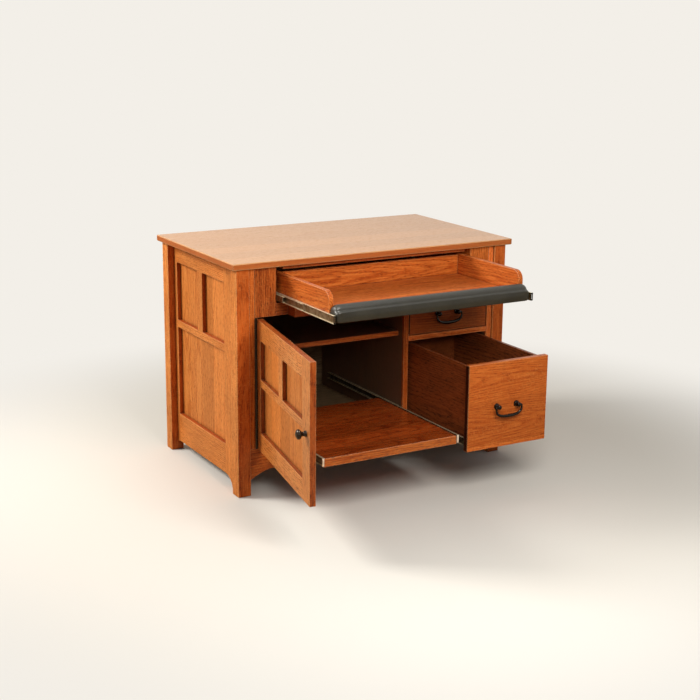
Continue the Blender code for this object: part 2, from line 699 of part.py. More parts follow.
# Drawers
def build_pull(stem, drawer, z):
    """Two turned posts and the bail that swings in them."""
    seat = FACE - GAP
    bail = empty(stem + "_bail_axis", (PULL_X, seat - POST_AXIS, z), drawer)
    half = PULL_SPACING / 2
    bore = bmesh.new()
    bmesh.ops.create_cone(bore, cap_ends=True, segments=16, radius1=BAIL_R + BAIL_PLAY,
                          radius2=BAIL_R + BAIL_PLAY, depth=4 * BAIL_OUT)
    for side, sign in (("left", -1), ("right", 1)):
        name = stem + "_" + side + "_post"
        x = PULL_X + sign * half
        post = turned(name, POST_PROFILE, (x, seat, z), (math.pi / 2, 0, 0), "bronze", drawer)
        mesh = bpy.data.meshes.new(name + "_bore")
        bore.to_mesh(mesh)
        cut(post, mesh, (x, seat - POST_AXIS, z), (0, math.pi / 2, 0))
    bore.free()
    leg = half + BAIL_OUT
    ear = BAIL_EAR_BEND
    pins = [(half - BAIL_PIN_IN, 0.0)] + arc((leg - ear, -ear), ear, 90, 0, 5)
    right = [(x, v, 1.0) for x, v in pins]
    steps = 10
    power = 2 / BAIL_FULLNESS
    for k in range(steps + 1):
        a = math.pi / 2 * k / steps
        across = max(0.0, math.cos(a)) ** power
        down = BAIL_SHOULDER + (BAIL_DROP - BAIL_SHOULDER) * math.sin(a) ** power
        right.append((leg * across, -down, 1 + (BAIL_SWELL - 1) * (1 - across ** 2)))
    path = [(-x, v, share) for x, v, share in right] + list(reversed(right[:-1]))
    rod(stem + "_bail", path, BAIL_R, (0, 0, 0), "bronze", bail)


def build_drawer(stem, parent, front_z, box_x, box_z):
    """A flat front, a box of four walls and a bottom let in between them."""
    board(stem + "_front", (DRAWER_X0, FACE, front_z[0]), (DRAWER_X1, FACE + FRONT_THICK, front_z[1]),
          "oak_front", parent, 1.5 * EASE)
    y0 = FACE + FRONT_THICK + GAP
    y1 = BACK_Y - BOX_BACK
    x0, x1 = box_x
    walls = [rectangle(x0, x1, y0, y1),
             rectangle(x0 + BOX_WALL, x1 - BOX_WALL, y0 + BOX_WALL, y1 - BOX_WALL)]
    prism(stem + "_box", walls, box_z, "XY", "drawer_box", parent)
    inset = BOX_WALL + GAP
    z = box_z[0] + BOTTOM_RISE
    lo = (x0 + inset, y0 + inset, z)
    board(stem + "_bottom", lo, (x1 - inset, y1 - inset, z + SHEET), "drawer_box", parent, EASE / 2)


def build_file_drawer(root):
    drawer = empty("file_drawer_slide", (0, -FILE_TRAVEL, 0), root)
    front_z = (BAY_BOTTOM, FILE_TOP)
    box_x = (PART_R + SLIDE_ROOM, BAY_X - SLIDE_ROOM)
    box_z = (BAY_BOTTOM + FILE_BOX_RISE, front_z[1] - FILE_BOX_DROP)
    build_drawer("file_drawer", drawer, front_z, box_x, box_z)
    y0 = FACE + FRONT_THICK + 2 * GAP
    spans = ((y0, BACK_Y - BOX_BACK), (y0, BACK_Y - BOX_BACK))
    slide_set("file", "left", box_x[0], -1, FILE_SLIDE_Z, spans, (drawer, root))
    slide_set("file", "right", box_x[1], 1, FILE_SLIDE_Z, spans, (drawer, root))
    build_pull("file_drawer", drawer, FILE_PULL_Z)


def build_small_drawer(root):
    drawer = empty("small_drawer_slide", (0, 0, 0), root)
    deck = DECK_Z + DECK_THICK
    front_z = (deck + 2 * REVEAL, BAY_TOP)
    box_x = (PART_R + SMALL_SIDE_PLAY, BAY_X - SMALL_SIDE_PLAY)
    build_drawer("small_drawer", drawer, front_z, box_x, (deck + GAP, front_z[1] - SMALL_BOX_DROP))
    build_pull("small_drawer", drawer, SMALL_PULL_Z)


def stored_centre():
    """Middle of the stored pose in plan: the open door and its knob reach furthest out."""
    along = Vector((math.cos(DOOR_TURN), -math.sin(DOOR_TURN)))
    inward = Vector((math.sin(DOOR_TURN), math.cos(DOOR_TURN)))
    pin = Vector((HINGE_X, HINGE_Y))
    knob = pin + along * (DOOR_X1 - KNOB_FROM_EDGE) + inward * (DOOR_Y0 - GAP)
    left = min(knob.x - inward.x * h - abs(along.x) * r for r, h in KNOB_PROFILE)
    front = min((pin + along * DOOR_X1 + inward * y).y for y in (DOOR_Y0, DOOR_Y1))
    return (left + WIDTH / 2) / 2, (front + DEPTH) / 2


def main():
    x, y = stored_centre()
    root = empty("laptop_credenza_root", (-x, -y, 0))
    build_case(root)
    build_tray(root)
    build_shelf(root)
    build_door(root)
    build_file_drawer(root)
    build_small_drawer(root)


main()
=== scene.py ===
import json
import logging
import math
from dataclasses import dataclass, field
from enum import Enum
from functools import partial
from typing import Any, Callable, Iterable, Mapping, Optional, Sequence

import bmesh
import bpy
from bmesh.types import BMesh, BMVert
from bpy.types import Material, Node, NodeSocket, NodeTree, Object
from mathutils import Matrix, Vector

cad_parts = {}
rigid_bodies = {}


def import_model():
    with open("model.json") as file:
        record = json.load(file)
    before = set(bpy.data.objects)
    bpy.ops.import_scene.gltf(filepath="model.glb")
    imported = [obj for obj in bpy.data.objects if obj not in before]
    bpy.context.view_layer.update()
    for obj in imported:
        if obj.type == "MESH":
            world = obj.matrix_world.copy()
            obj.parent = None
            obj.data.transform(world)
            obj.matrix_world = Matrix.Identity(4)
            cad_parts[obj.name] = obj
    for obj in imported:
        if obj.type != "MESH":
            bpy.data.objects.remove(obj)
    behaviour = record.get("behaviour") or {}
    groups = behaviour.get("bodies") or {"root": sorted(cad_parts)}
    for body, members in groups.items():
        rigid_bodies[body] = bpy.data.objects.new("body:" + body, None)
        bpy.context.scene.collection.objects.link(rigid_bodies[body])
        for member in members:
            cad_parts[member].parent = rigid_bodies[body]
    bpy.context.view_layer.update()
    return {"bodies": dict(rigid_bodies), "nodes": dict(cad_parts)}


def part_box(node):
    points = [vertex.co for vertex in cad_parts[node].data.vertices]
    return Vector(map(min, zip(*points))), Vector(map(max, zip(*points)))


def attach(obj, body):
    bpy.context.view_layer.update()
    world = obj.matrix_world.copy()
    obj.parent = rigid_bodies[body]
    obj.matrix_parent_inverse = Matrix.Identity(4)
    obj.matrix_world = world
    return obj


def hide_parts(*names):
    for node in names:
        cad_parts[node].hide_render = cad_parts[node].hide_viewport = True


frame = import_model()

MM: float = 0.001
JOIN_WITHIN: float = 1e-5
LOG: logging.Logger = logging.getLogger("laptop_credenza")
NODES: Mapping[str, Object] = frame["nodes"]

Span = tuple[float, float]
# add_node for one tree
Adder = Callable[..., Node]

MATH, VECTOR, RANGE = "ShaderNodeMath", "ShaderNodeVectorMath", "ShaderNodeMapRange"
MIX, RAMP, NOISE = "ShaderNodeMix", "ShaderNodeValToRGB", "ShaderNodeTexNoise"
PLACE, SPLIT, JOIN = "ShaderNodeTexCoord", "ShaderNodeSeparateXYZ", "ShaderNodeCombineXYZ"
BUMP, SURFACE, OUTPUT = "ShaderNodeBump", "ShaderNodeBsdfPrincipled", "ShaderNodeOutputMaterial"


def linear(hex_colour: str) -> tuple[float, float, float, float]:
    """Turns an sRGB hex colour into linear light.

    Args:
        hex_colour: six hex digits after a hash sign.

    Returns:
        Red, green, blue and a full alpha.
    """
    parts = [int(hex_colour[i:i + 2], 16) / 255 for i in (1, 3, 5)]
    light = [p / 12.92 if p <= 0.04045 else ((p + 0.055) / 1.055) ** 2.4 for p in parts]
    return (light[0], light[1], light[2], 1.0)


def add_node(tree: NodeTree, kind: str, inputs: Optional[Mapping[Any, Any]] = None, operation: str = "",
             **settings: Any) -> Node:
    """Adds one node with its settings and links.

    Args:
        tree: the node tree that takes the node.
        kind: the node's type name.
        inputs: socket name or number to a plain value, an output socket, or a node whose first output is meant.
        operation: what the node works out, where its kind has a choice.
        settings: the node's other properties.

    Returns:
        The new node.
    """
    node = tree.nodes.new(kind)
    if operation:
        node.operation = operation
    for name, value in settings.items():
        setattr(node, name, value)
    for key, value in (inputs or {}).items():
        if isinstance(value, Node):
            value = next(output for output in value.outputs if output.enabled)
        if isinstance(value, NodeSocket):
            tree.links.new(value, node.inputs[key])
        else:
            node.inputs[key].default_value = value
    return node


def new_material(name: str) -> tuple[Material, Adder]:
    """Makes an empty node material.

    Args:
        name: the material's name.

    Returns:
        The material and what adds nodes to it.
    """
    material = bpy.data.materials.new(name)
    material.use_nodes = True
    material.node_tree.nodes.clear()
    return material, partial(add_node, material.node_tree)


def set_ramp(node: Node, stops: Sequence[tuple[float, Any]]) -> None:
    """Sets a colour ramp's stops.

    Args:
        node: the ramp node.
        stops: place and value pairs, a grey level or a linear colour each.
    """
    band = node.color_ramp.elements
    while len(band) < len(stops):
        band.new(0.5)
    for element, (place, value) in zip(band, stops):
        element.position = place
        element.color = (value, value, value, 1.0) if isinstance(value, float) else value


def edge_mask(node: Adder, radius: float, bend: float, most: float, flat: float = 0.995) -> Node:
    """Finds a piece's edges, where wiping and handling rub it. On the oak the paler edge is partly this wear and
    partly a painted glint.

    Args:
        node: adds to the material.
        radius: how far from an edge the wear reaches, in metres.
        bend: the cosine between the rounded and the true surface at which the wear is full.
        most: the wear there.
        flat: the cosine at which it starts.

    Returns:
        The node that gives the wear, 0 on the flats.
    """
    rounded = node("ShaderNodeBevel", {"Radius": radius}, samples=4)
    true = node("ShaderNodeNewGeometry").outputs["Normal"]
    facing = node(VECTOR, {0: rounded, 1: true}, "DOT_PRODUCT")
    return node(RANGE, {0: facing, 1: flat, 2: bend, 3: 0.0, 4: most})


class Lay(Enum):
    """Which way a board lies: its grain, its width and its thickness along the frame's axes."""

    ALONG_X_FLAT = ("X", "Y", "Z")
    ALONG_X_UPRIGHT = ("X", "Z", "Y")
    ALONG_Y_UPRIGHT = ("Y", "Z", "X")
    UPRIGHT_FACING_FRONT = ("Z", "X", "Y")
    UPRIGHT_FACING_SIDE = ("Z", "Y", "X")


class Deeper(Enum):
    """Which of a board's surfaces are painted darker, partly as stain that sawn edges drank and partly as painted
    shade on recess walls and end faces that lie in shade: the axis they are told by, and whether they face along it.
    """

    NONE = (0, 0.0)
    EDGES = (2, 0.0)
    FACES = (2, 1.0)
    ENDS = (0, 1.0)


class Cut(Enum):
    """How the log was sawn: where its heart lies from a board's middle, across and below, in metres, the share of
    rays that this shows, and how far the rings lean along the board.
    """

    QUARTER = (0.21, 0.03, 1.0, 0.012)
    RIFT = (0.07, 0.07, 0.6, 0.012)
    PLAIN = (0.012, 0.042, 0.35, 0.05)


@dataclass(frozen=True)
class Turn:
    """A piece's own upright axis and its turn, for boards that stand askew in the stored pose."""

    axis_x: float
    axis_y: float
    degrees: float

    def matrix(self) -> Matrix:
        """The turn that squares the piece to the frame's axes."""
        home = Matrix.Translation((-self.axis_x, -self.axis_y, 0))
        return Matrix.Rotation(math.radians(self.degrees), 4, "Z") @ home


@dataclass(frozen=True)
class Rails:
    """Where a frame's cross rails are, so that their grain runs across and the stiles' runs up.

    lay is how the rails lie, inner the room between the stiles, and bands each rail's heights.
    """

    lay: Lay
    inner: Span
    bands: tuple[Span, ...]


@dataclass(frozen=True)
class Stain:
    """Colours that one stain gives oak, from the open pores to the bright rays."""

    pore: str
    late: str
    body: str
    early: str
    ray: str
    # The pale edge colour: partly rubbed wear, partly a painted glint
    worn: str


# One red-brown stain, brushed and wiped: each group of boards took it up a little differently. Some copies also
# hold painted light: the darkest is darkened as painted shade for the boards that lie in shade, the brightest
# orange is lightened as painted light for the lit deck and lining edges, the drawer boxes' is darker partly as
# painted shade, and the top's is paler partly as a painted sheen
# Paler partly as a painted sheen
TOP_STAIN = Stain("#7a4420", "#b87e4a", "#c9905a", "#d4a06c", "#dcb080", "#e6c492")
SIDE_STAIN = Stain("#6a3212", "#aa5c26", "#c37232", "#d48845", "#de9e5c", "#eec290")
FRONT_STAIN = Stain("#5a220a", "#943f15", "#b6581f", "#cc7231", "#d78b48", "#eab684")
# A lighter copy as painted light, for the lit deck and lining edges
PAINTED_LIGHT_STAIN = Stain("#6e2c10", "#b8581f", "#d86a2a", "#e88040", "#ec9a58", "#f2c294")
# A darker copy as painted shade, for boards that lie in shade
PAINTED_SHADE_STAIN = Stain("#4c1c09", "#823512", "#9f491a", "#b76028", "#c4783c", "#dca474")
INSIDE_STAIN = Stain("#3c2c1e", "#6a543c", "#80684c", "#8e7658", "#9a8262", "#a8845c")
# Darker partly as painted shade
BOX_STAIN = Stain("#35180c", "#6c3318", "#80401f", "#924e29", "#9e5c34", "#b0602c")


@dataclass(frozen=True)
class Oak:
    """Red oak, stained, sealed and rubbed to a satin lacquer.

    The eye sees dark dashes of stain in open pores, bands where the year's rings come up to the face, short pale
    rays that cross the grain on quartersawn faces, and a soft gloss with paler edges, partly rubbed and partly a
    painted glint. Corners, recess walls and the inside are painted darker, partly as stain and partly as painted
    shade.
    """

    stain: Stain
    cut: Cut = Cut.QUARTER
    board: float = 0.0
    gloss: float = 0.36
    coat: float = 0.03
    ray_share: float = 0.4
    contrast: float = 1.2
    # How dark the corners are painted, partly as stain the rag left there and partly as painted shade from ambient
    # occlusion, and its tint
    corner_glaze_and_shade: float = 0.5
    corner_glaze_and_shade_tint: str = "#6e4030"
    # Which surfaces are painted darker, partly as stain drunk by sawn edges and partly as painted shade on recess
    # walls and shaded end faces, and the tint that this lays over them
    deeper: Deeper = Deeper.NONE
    deeper_stain_and_shade_tint: str = "#d8a684"
    # Behind this distance from the front the wood is mixed toward a dull dark brown, which hides this share of it:
    # partly a plain sealer on the inside boards, partly painted shade for the inside, where shade falls
    sealer_and_shade_from: Optional[float] = None
    sealer_and_shade_tint: str = "#5c4c3c"
    sealer_and_shade_share: float = 0.88
    sealer_and_shade_fade_mm: float = 6.0
    # The noise from which a pore opens and at which it is full, and how far glued boards differ in tone
    pore_open: Span = (0.50, 0.68)
    tone_spread: float = 0.12
    # How far the rings sway, in metres, how far the heart moves between glued boards, and how the rays lean
    sway: float = 0.030
    heart_swing: float = 2.4
    ray_slant: float = 0.32
    # Real sizes in millimetres, along and across the grain. Rings and pores are drawn about twice as coarse as in
    # the wood, to show at this scale
    ring_mm: float = 6.5
    pore_mm: Span = (16.0, 2.7)
    fibre_mm: Span = (70.0, 3.4)
    streak_mm: Span = (420.0, 13.0)
    cloud_mm: Span = (300.0, 120.0)
    sway_mm: Span = (330.0, 90.0)
    ray_mm: Span = (3.6, 13.0)
    ray_patch_mm: Span = (90.0, 40.0)
    corner_glaze_and_shade_mm: float = 9.0
    rubbed_mm: float = 2.0
    relief_mm: float = 0.4


# How far along and across the log the next piece is taken, and the reach after which that starts over, in metres
TRUNK_STEP: Span = (0.731, 0.0137)
TRUNK_REACH: Span = (5.0, 0.05)
# How many pieces further on a frame's rails are taken, and the step between the joints of glued panels, in boards
RAIL_PIECES: int = 7
JOINT_STEP: float = 0.37
# Added to the count of glued boards, so that it is never below 0
FIRST_BOARD: float = 20.0


@dataclass
class OakNodes:
    """Draws one piece's oak.

    oak is the finish, and node adds to the piece's material. lay is how the board lies, middle the piece's middle,
    from which the rings are laid out, and seed a number that picks another part of the log. turn is the piece's
    turn, where it stands askew, and rails are its cross rails, where it is a joined frame.
    """

    oak: Oak
    node: Adder
    lay: Lay
    middle: Vector
    seed: int
    turn: Optional[Turn] = None
    rails: Optional[Rails] = None

    def build(self) -> None:
        """Lays figure, rays, pores, uneven and deeper stain and rubbed edges over one another under the lacquer."""
        oak, node, stain, level = self.oak, self.node, self.oak.stain, self.oak.contrast
        grain = self.grain_space()
        axes = node(SPLIT, {0: grain})
        rings, tone = self.ring_bands(grain, axes)
        fibre, streak, cloud = (self.at_size(grain, size, 2)
                                for size in (oak.fibre_mm, oak.streak_mm, oak.cloud_mm))
        pore = node(RANGE, {0: self.at_size(grain, oak.pore_mm, 1), 1: oak.pore_open[0], 2: oak.pore_open[1]})
        crowd = node(MATH, {0: rings, 1: 0.65, 2: 0.35}, "MULTIPLY_ADD")
        pore = node(MATH, {0: pore, 1: crowd}, "MULTIPLY")
        figure: Any = 0.55 - 0.62 * level
        for part, share in ((fibre, 1.0), (streak, 0.5), (rings, -0.26)):
            figure = node(MATH, {0: part, 1: share * level, 2: figure}, "MULTIPLY_ADD")
        shade = node(RAMP, {0: figure})
        set_ramp(shade, ((0.18, linear(stain.late)), (0.50, linear(stain.body)), (0.80, linear(stain.early))))
        ray = node(MATH, {0: self.rays(grain, axes), 1: 0.34}, "MULTIPLY")
        dash = node(MATH, {0: pore, 1: 0.62 * level}, "MULTIPLY")
        patchy, low, high = (tone, 0.0, 1.0) if oak.board else (cloud, 0.3, 0.7)
        spread = oak.tone_spread * level
        uneven = node(RANGE, {0: patchy, 1: low, 2: high, 3: 1 - spread, 4: 1 + spread})
        # Paler edges: partly rubbed wear, partly a painted glint
        edge = edge_mask(node, oak.rubbed_mm * MM, 0.88, 1.1)
        worn = node(MATH, {0: edge, 1: cloud}, "MULTIPLY")
        layers = [(ray, linear(stain.ray), "MIX"), (dash, linear(stain.pore), "MIX"), (1.0, uneven, "MULTIPLY"),
                  *self.stain_sealer_and_shade_places(), (worn, linear(stain.worn), "MIX")]
        for mask, tint, blend in layers:
            shade = node(MIX, {0: mask, 6: shade, 7: tint}, data_type="RGBA", blend_type=blend)
        rough: Any = oak.gloss - 0.08
        for part, share in ((fibre, 0.16), (pore, 0.2)):
            rough = node(MATH, {0: part, 1: share, 2: rough}, "MULTIPLY_ADD")
        relief = node(MATH, {0: pore, 1: -0.9, 2: fibre}, "MULTIPLY_ADD")
        bump = node(BUMP, {"Strength": 0.35, "Distance": oak.relief_mm * MM, "Height": relief})
        node(OUTPUT, {0: node(SURFACE, {
            "Base Color": shade, "Roughness": rough, "Normal": bump, "IOR": 1.5, "Specular IOR Level": 0.22,
            "Coat Weight": oak.coat, "Coat Roughness": 0.22})})

    def stain_sealer_and_shade_places(self) -> list[tuple[Node, Any, str]]:
        """Finds where the wood is painted darker: sawn edges, partly stain and partly painted shade; corners, glaze
        and painted shade from ambient occlusion; and the inside, a dull sealer and painted shade.

        Returns:
            A mask from 0 to 1, a tint and the way it is laid on the wood, for each place.
        """
        oak, node = self.oak, self.node
        places: list[tuple[Node, Any, str]] = []
        spot = node(PLACE).outputs
        # Sawn edges: partly the stain they drank, partly painted shade on recess walls and shaded end faces
        if oak.deeper is not Deeper.NONE:
            told_by, on_face = oak.deeper.value
            face = Vector([float(axis == self.lay.value[told_by]) for axis in "XYZ"])
            if self.turn:
                face = self.turn.matrix().to_3x3().inverted() @ face
            facing = node(VECTOR, {0: spot["Normal"], 1: face}, "DOT_PRODUCT")
            flat = node(MATH, {0: facing}, "ABSOLUTE")
            mask = node(RANGE, {0: flat, 1: 0.4, 2: 0.75, 3: 1 - on_face, 4: on_face})
            places.append((mask, linear(oak.deeper_stain_and_shade_tint), "MULTIPLY"))
        # Painted shade: ambient occlusion darkens corners and recesses, over the stain that the rag left there
        corner = node("ShaderNodeAmbientOcclusion", {"Distance": oak.corner_glaze_and_shade_mm * MM}, samples=6)
        mask = node(RANGE, {0: corner.outputs["AO"], 1: 0.35, 2: 0.9, 3: oak.corner_glaze_and_shade, 4: 0.0})
        places.append((mask, linear(oak.corner_glaze_and_shade_tint), "MULTIPLY"))
        # The inside, behind the front: partly a dull sealer, partly painted shade
        if oak.sealer_and_shade_from is not None:
            back = node(SPLIT, {0: spot["Object"]}).outputs["Y"]
            full = oak.sealer_and_shade_from + oak.sealer_and_shade_fade_mm * MM
            mask = node(RANGE, {0: back, 1: oak.sealer_and_shade_from, 2: full, 3: 0.0, 4: oak.sealer_and_shade_share})
            places.append((mask, linear(oak.sealer_and_shade_tint), "MIX"))
        return places

    def grain_space(self) -> Node:
        """Lays out the piece's place as along, across and through the grain, in metres from its middle.

        Returns:
            The node that gives the place.
        """
        node, middle, rails = self.node, self.middle, self.rails
        spot: Any = node(PLACE).outputs["Object"]
        if self.turn:
            matrix = self.turn.matrix()
            middle = matrix @ middle
            spot = node("ShaderNodeMapping", {0: spot, 1: matrix.to_translation(),
                                              2: (0.0, 0.0, math.radians(self.turn.degrees))})
        axes = node(SPLIT, {0: spot}).outputs
        wood = self.turned_to(axes, self.lay, middle, self.seed)
        if rails:
            rail_wood = self.turned_to(axes, rails.lay, middle, self.seed + RAIL_PIECES)
            on_rail: Any = 0.0
            for band in rails.bands:
                on_rail = node(MATH, {0: on_rail, 1: self.between(axes["Z"], *band)}, "MAXIMUM")
            inside = self.between(axes[rails.lay.value[0]], *rails.inner)
            on_rail = node(MATH, {0: inside, 1: on_rail}, "MULTIPLY")
            wood = node(MIX, {0: on_rail, 4: wood, 5: rail_wood}, data_type="VECTOR")
        return wood

    def turned_to(self, axes: Mapping[str, NodeSocket], lay: Lay, middle: Vector, seed: int) -> Node:
        """Turns a place in the frame's axes into along, across and through the grain.

        Args:
            axes: the place's three numbers.
            lay: how the board lies.
            middle: the piece's middle.
            seed: picks another part of the log.

        Returns:
            The node that gives the turned place.
        """
        joined = self.node(JOIN, {k: axes[axis] for k, axis in enumerate(lay.value)})
        along, across, depth = (getattr(middle, axis.lower()) for axis in lay.value)
        on, over = (seed * step % reach for step, reach in zip(TRUNK_STEP, TRUNK_REACH))
        offset = (on - along, over - TRUNK_REACH[1] / 2 - across, -depth)
        return self.node(VECTOR, {0: joined, 1: offset}, "ADD")

    def between(self, number: NodeSocket, low: float, high: float) -> Node:
        """Gives 1 where a number lies between two values and 0 elsewhere."""
        return self.node(MATH, {0: number, 1: (low + high) / 2, 2: (high - low) / 2}, "COMPARE")

    def ring_bands(self, grain: Node, axes: Node) -> tuple[Node, Optional[Node]]:
        """Cuts the board out of a log whose year rings are slightly tapered, wavy tubes round its heart.

        A wide panel is first split into the boards that it was glued up from, each with its heart in another place.

        Args:
            grain: the place in the grain's own axes.
            axes: the same place's three numbers.

        Returns:
            The node that is 1 in a ring's porous early wood and falls to 0 through its late wood, and one that gives
            each glued board a number from 0 to 1.
        """
        oak, node = self.oak, self.node
        along, across, depth = axes.outputs
        side, heart_below, _, taper = oak.cut.value
        tone = None
        if oak.board:
            first = FIRST_BOARD + self.seed * JOINT_STEP % 1.0
            count = node(MATH, {0: across, 1: 1 / oak.board, 2: first}, "MULTIPLY_ADD")
            index = node(MATH, {0: count}, "FLOOR")
            tone = node("ShaderNodeTexWhiteNoise", {"W": index}, noise_dimensions="1D")
            part = node(MATH, {0: count}, "FRACT")
            across = node(MATH, {0: part, 1: oak.board, 2: -oak.board / 2}, "MULTIPLY_ADD")
            side = node(MATH, {0: tone, 1: -side * oak.heart_swing, 2: side}, "MULTIPLY_ADD")
        across = node(MATH, {0: across, 1: side}, "ADD")
        below = node(MATH, {0: depth, 1: heart_below}, "ADD")
        bent = node(VECTOR, {0: node(JOIN, {1: across, 2: below})}, "LENGTH")
        for part, share in ((self.at_size(grain, oak.sway_mm, 2), oak.sway), (along, taper)):
            bent = node(MATH, {0: part, 1: share, 2: bent}, "MULTIPLY_ADD")
        years = node(MATH, {0: bent, 1: 1 / (oak.ring_mm * MM)}, "MULTIPLY")
        band = node(RAMP, {0: node(MATH, {0: years}, "FRACT")})
        set_ramp(band, ((0.0, 0.55), (0.12, 1.0), (0.42, 0.35), (0.86, 0.0), (1.0, 0.55)))
        return band, tone

    def at_size(self, grain: Node, size_mm: Span, detail: int) -> Node:
        """Noise whose patches have a real length and width.

        Args:
            grain: the place in the grain's own axes.
            size_mm: a patch's length along the grain and its width, in millimetres.
            detail: how many finer layers it has.

        Returns:
            The node that gives the noise, around 0.5.
        """
        along, across = (1 / (s * MM) for s in size_mm)
        scaled = self.node(VECTOR, {0: grain, 1: (along, across, across)}, "MULTIPLY")
        return self.node(NOISE, {"Vector": scaled, "Scale": 1.0, "Detail": float(detail), "Roughness": 0.55})

    def rays(self, grain: Node, axes: Node) -> Node:
        """Short ribbons that cross the grain at a slant, in patches, as quartersawn oak shows.

        Args:
            grain: the place in the grain's own axes.
            axes: the same place's three numbers.

        Returns:
            The node that is 1 on a ray and 0 elsewhere.
        """
        oak, node = self.oak, self.node
        along, across, depth = axes.outputs
        slant = node(MATH, {0: across, 1: oak.ray_slant, 2: along}, "MULTIPLY_ADD")
        ribbon = self.at_size(node(JOIN, {0: slant, 1: across, 2: depth}), oak.ray_mm, 1)
        patch = self.at_size(grain, oak.ray_patch_mm, 1)
        share = oak.cut.value[2] * oak.ray_share
        edge = node(MATH, {0: patch, 1: -0.34, 2: 0.80 - 0.08 * share}, "MULTIPLY_ADD")
        over = node(MATH, {0: ribbon, 1: edge}, "SUBTRACT")
        return node(RANGE, {0: over, 1: 0.0, 2: 0.06, 3: 0.0, 4: min(1.0, 0.4 + share)})


@dataclass(frozen=True)
class ZincPlatedSteel:
    """Cold-rolled steel strip, zinc plated: pale and faintly yellow, with a fine roll line. Behind the lips, on both
    faces of the web, it is brown: partly old grease and partly painted shade. The lips stay bright.
    """

    pale: str = "#efe6cc"
    dull: str = "#d8cdb0"
    # Brown for old grease and painted shade in the channel
    grease_and_shade: str = "#6b5535"
    roughness: float = 0.42
    bloom_mm: float = 14.0
    # The roll lines' width and length
    line_mm: Span = (1.2, 60.0)
    # How far behind the lips' tips the grease and painted shade start, and where they are full
    grease_and_shade_mm: Span = (0.8, 2.5)

    def material(self, name: str, open_way: float = 0.0, tips: float = 0.0) -> Material:
        """Makes the zinc plate.

        Args:
            name: the material's name.
            open_way: 1 where a channel opens to the right, -1 to the left, 0 for a plain strip.
            tips: how far to the right the tips of the channel's lips lie.

        Returns:
            The material.
        """
        material, node = new_material(name)
        place = node(PLACE).outputs
        spot = place["Object"]
        bloom = node(NOISE, {"Vector": spot, "Scale": 1 / (self.bloom_mm * MM), "Detail": 3.0})
        wide, long = (1 / (size * MM) for size in self.line_mm)
        rolled = node(VECTOR, {0: spot, 1: (wide, long, wide)}, "MULTIPLY")
        line = node(NOISE, {"Vector": rolled, "Scale": 1.0, "Detail": 2.0})
        plate = node(RAMP, {0: bloom})
        set_ramp(plate, ((0.34, linear(self.dull)), (0.62, linear(self.pale))))
        if open_way:
            # Grease and painted shade: the web's faces behind the lips turn brown, on the back of the web too
            web = node(MATH, {0: node(SPLIT, {0: place["Normal"]})}, "ABSOLUTE")
            deep = node(MATH, {0: node(SPLIT, {0: spot}), 1: -open_way, 2: open_way * tips}, "MULTIPLY_ADD")
            deep = node(RANGE, {0: deep, 1: self.grease_and_shade_mm[0] * MM, 2: self.grease_and_shade_mm[1] * MM})
            smear = node(RANGE, {0: bloom, 1: 0.3, 2: 0.6, 3: 0.75, 4: 1.0})
            grease_and_shade_mask = node(MATH, {0: web, 1: deep}, "MULTIPLY", use_clamp=True)
            grease_and_shade_mask = node(MATH, {0: grease_and_shade_mask, 1: smear}, "MULTIPLY")
            plate = node(MIX, {0: grease_and_shade_mask, 6: plate, 7: linear(self.grease_and_shade)}, data_type="RGBA")
        rough = node(MATH, {0: line, 1: 0.24, 2: self.roughness - 0.12}, "MULTIPLY_ADD")
        bump = node(BUMP, {"Strength": 0.12, "Distance": 0.2 * MM, "Height": line})
        node(OUTPUT, {0: node(SURFACE, {"Base Color": plate, "Metallic": 0.7, "Roughness": rough, "Normal": bump})})
        return material


@dataclass(frozen=True)
class OilRubbedBronze:
    """Cast bronze, darkened and oiled: near black, with brown metal where fingers rub it and a soft hot highlight."""

    dark: str = "#14100d"
    rubbed: str = "#3a2a1e"
    roughness: float = 0.24
    cast_mm: float = 3.5
    rubbed_mm: float = 1.2

    def material(self, name: str) -> Material:
        """Makes the bronze.

        Args:
            name: the material's name.

        Returns:
            The material.
        """
        material, node = new_material(name)
        spot = node(PLACE).outputs["Object"]
        cast = node(NOISE, {"Vector": spot, "Scale": 1 / (self.cast_mm * MM), "Detail": 4.0})
        worn = node(MATH, {0: cast, 1: 0.5, 2: -0.16}, "MULTIPLY_ADD")
        edge = edge_mask(node, self.rubbed_mm * MM, 0.9, 0.8)
        worn = node(MATH, {0: edge, 1: 0.6, 2: worn}, "MULTIPLY_ADD", use_clamp=True)
        colour = node(MIX, {0: worn, 6: linear(self.dark), 7: linear(self.rubbed)}, data_type="RGBA")
        rough = node(MATH, {0: cast, 1: 0.3, 2: self.roughness - 0.15}, "MULTIPLY_ADD")
        bump = node(BUMP, {"Strength": 0.2, "Distance": 0.3 * MM, "Height": cast})
        node(OUTPUT, {0: node(SURFACE, {
            "Base Color": colour, "Metallic": 0.75, "Roughness": rough, "Normal": bump, "Coat Weight": 0.22,
            "Coat Roughness": 0.1})})
        return material


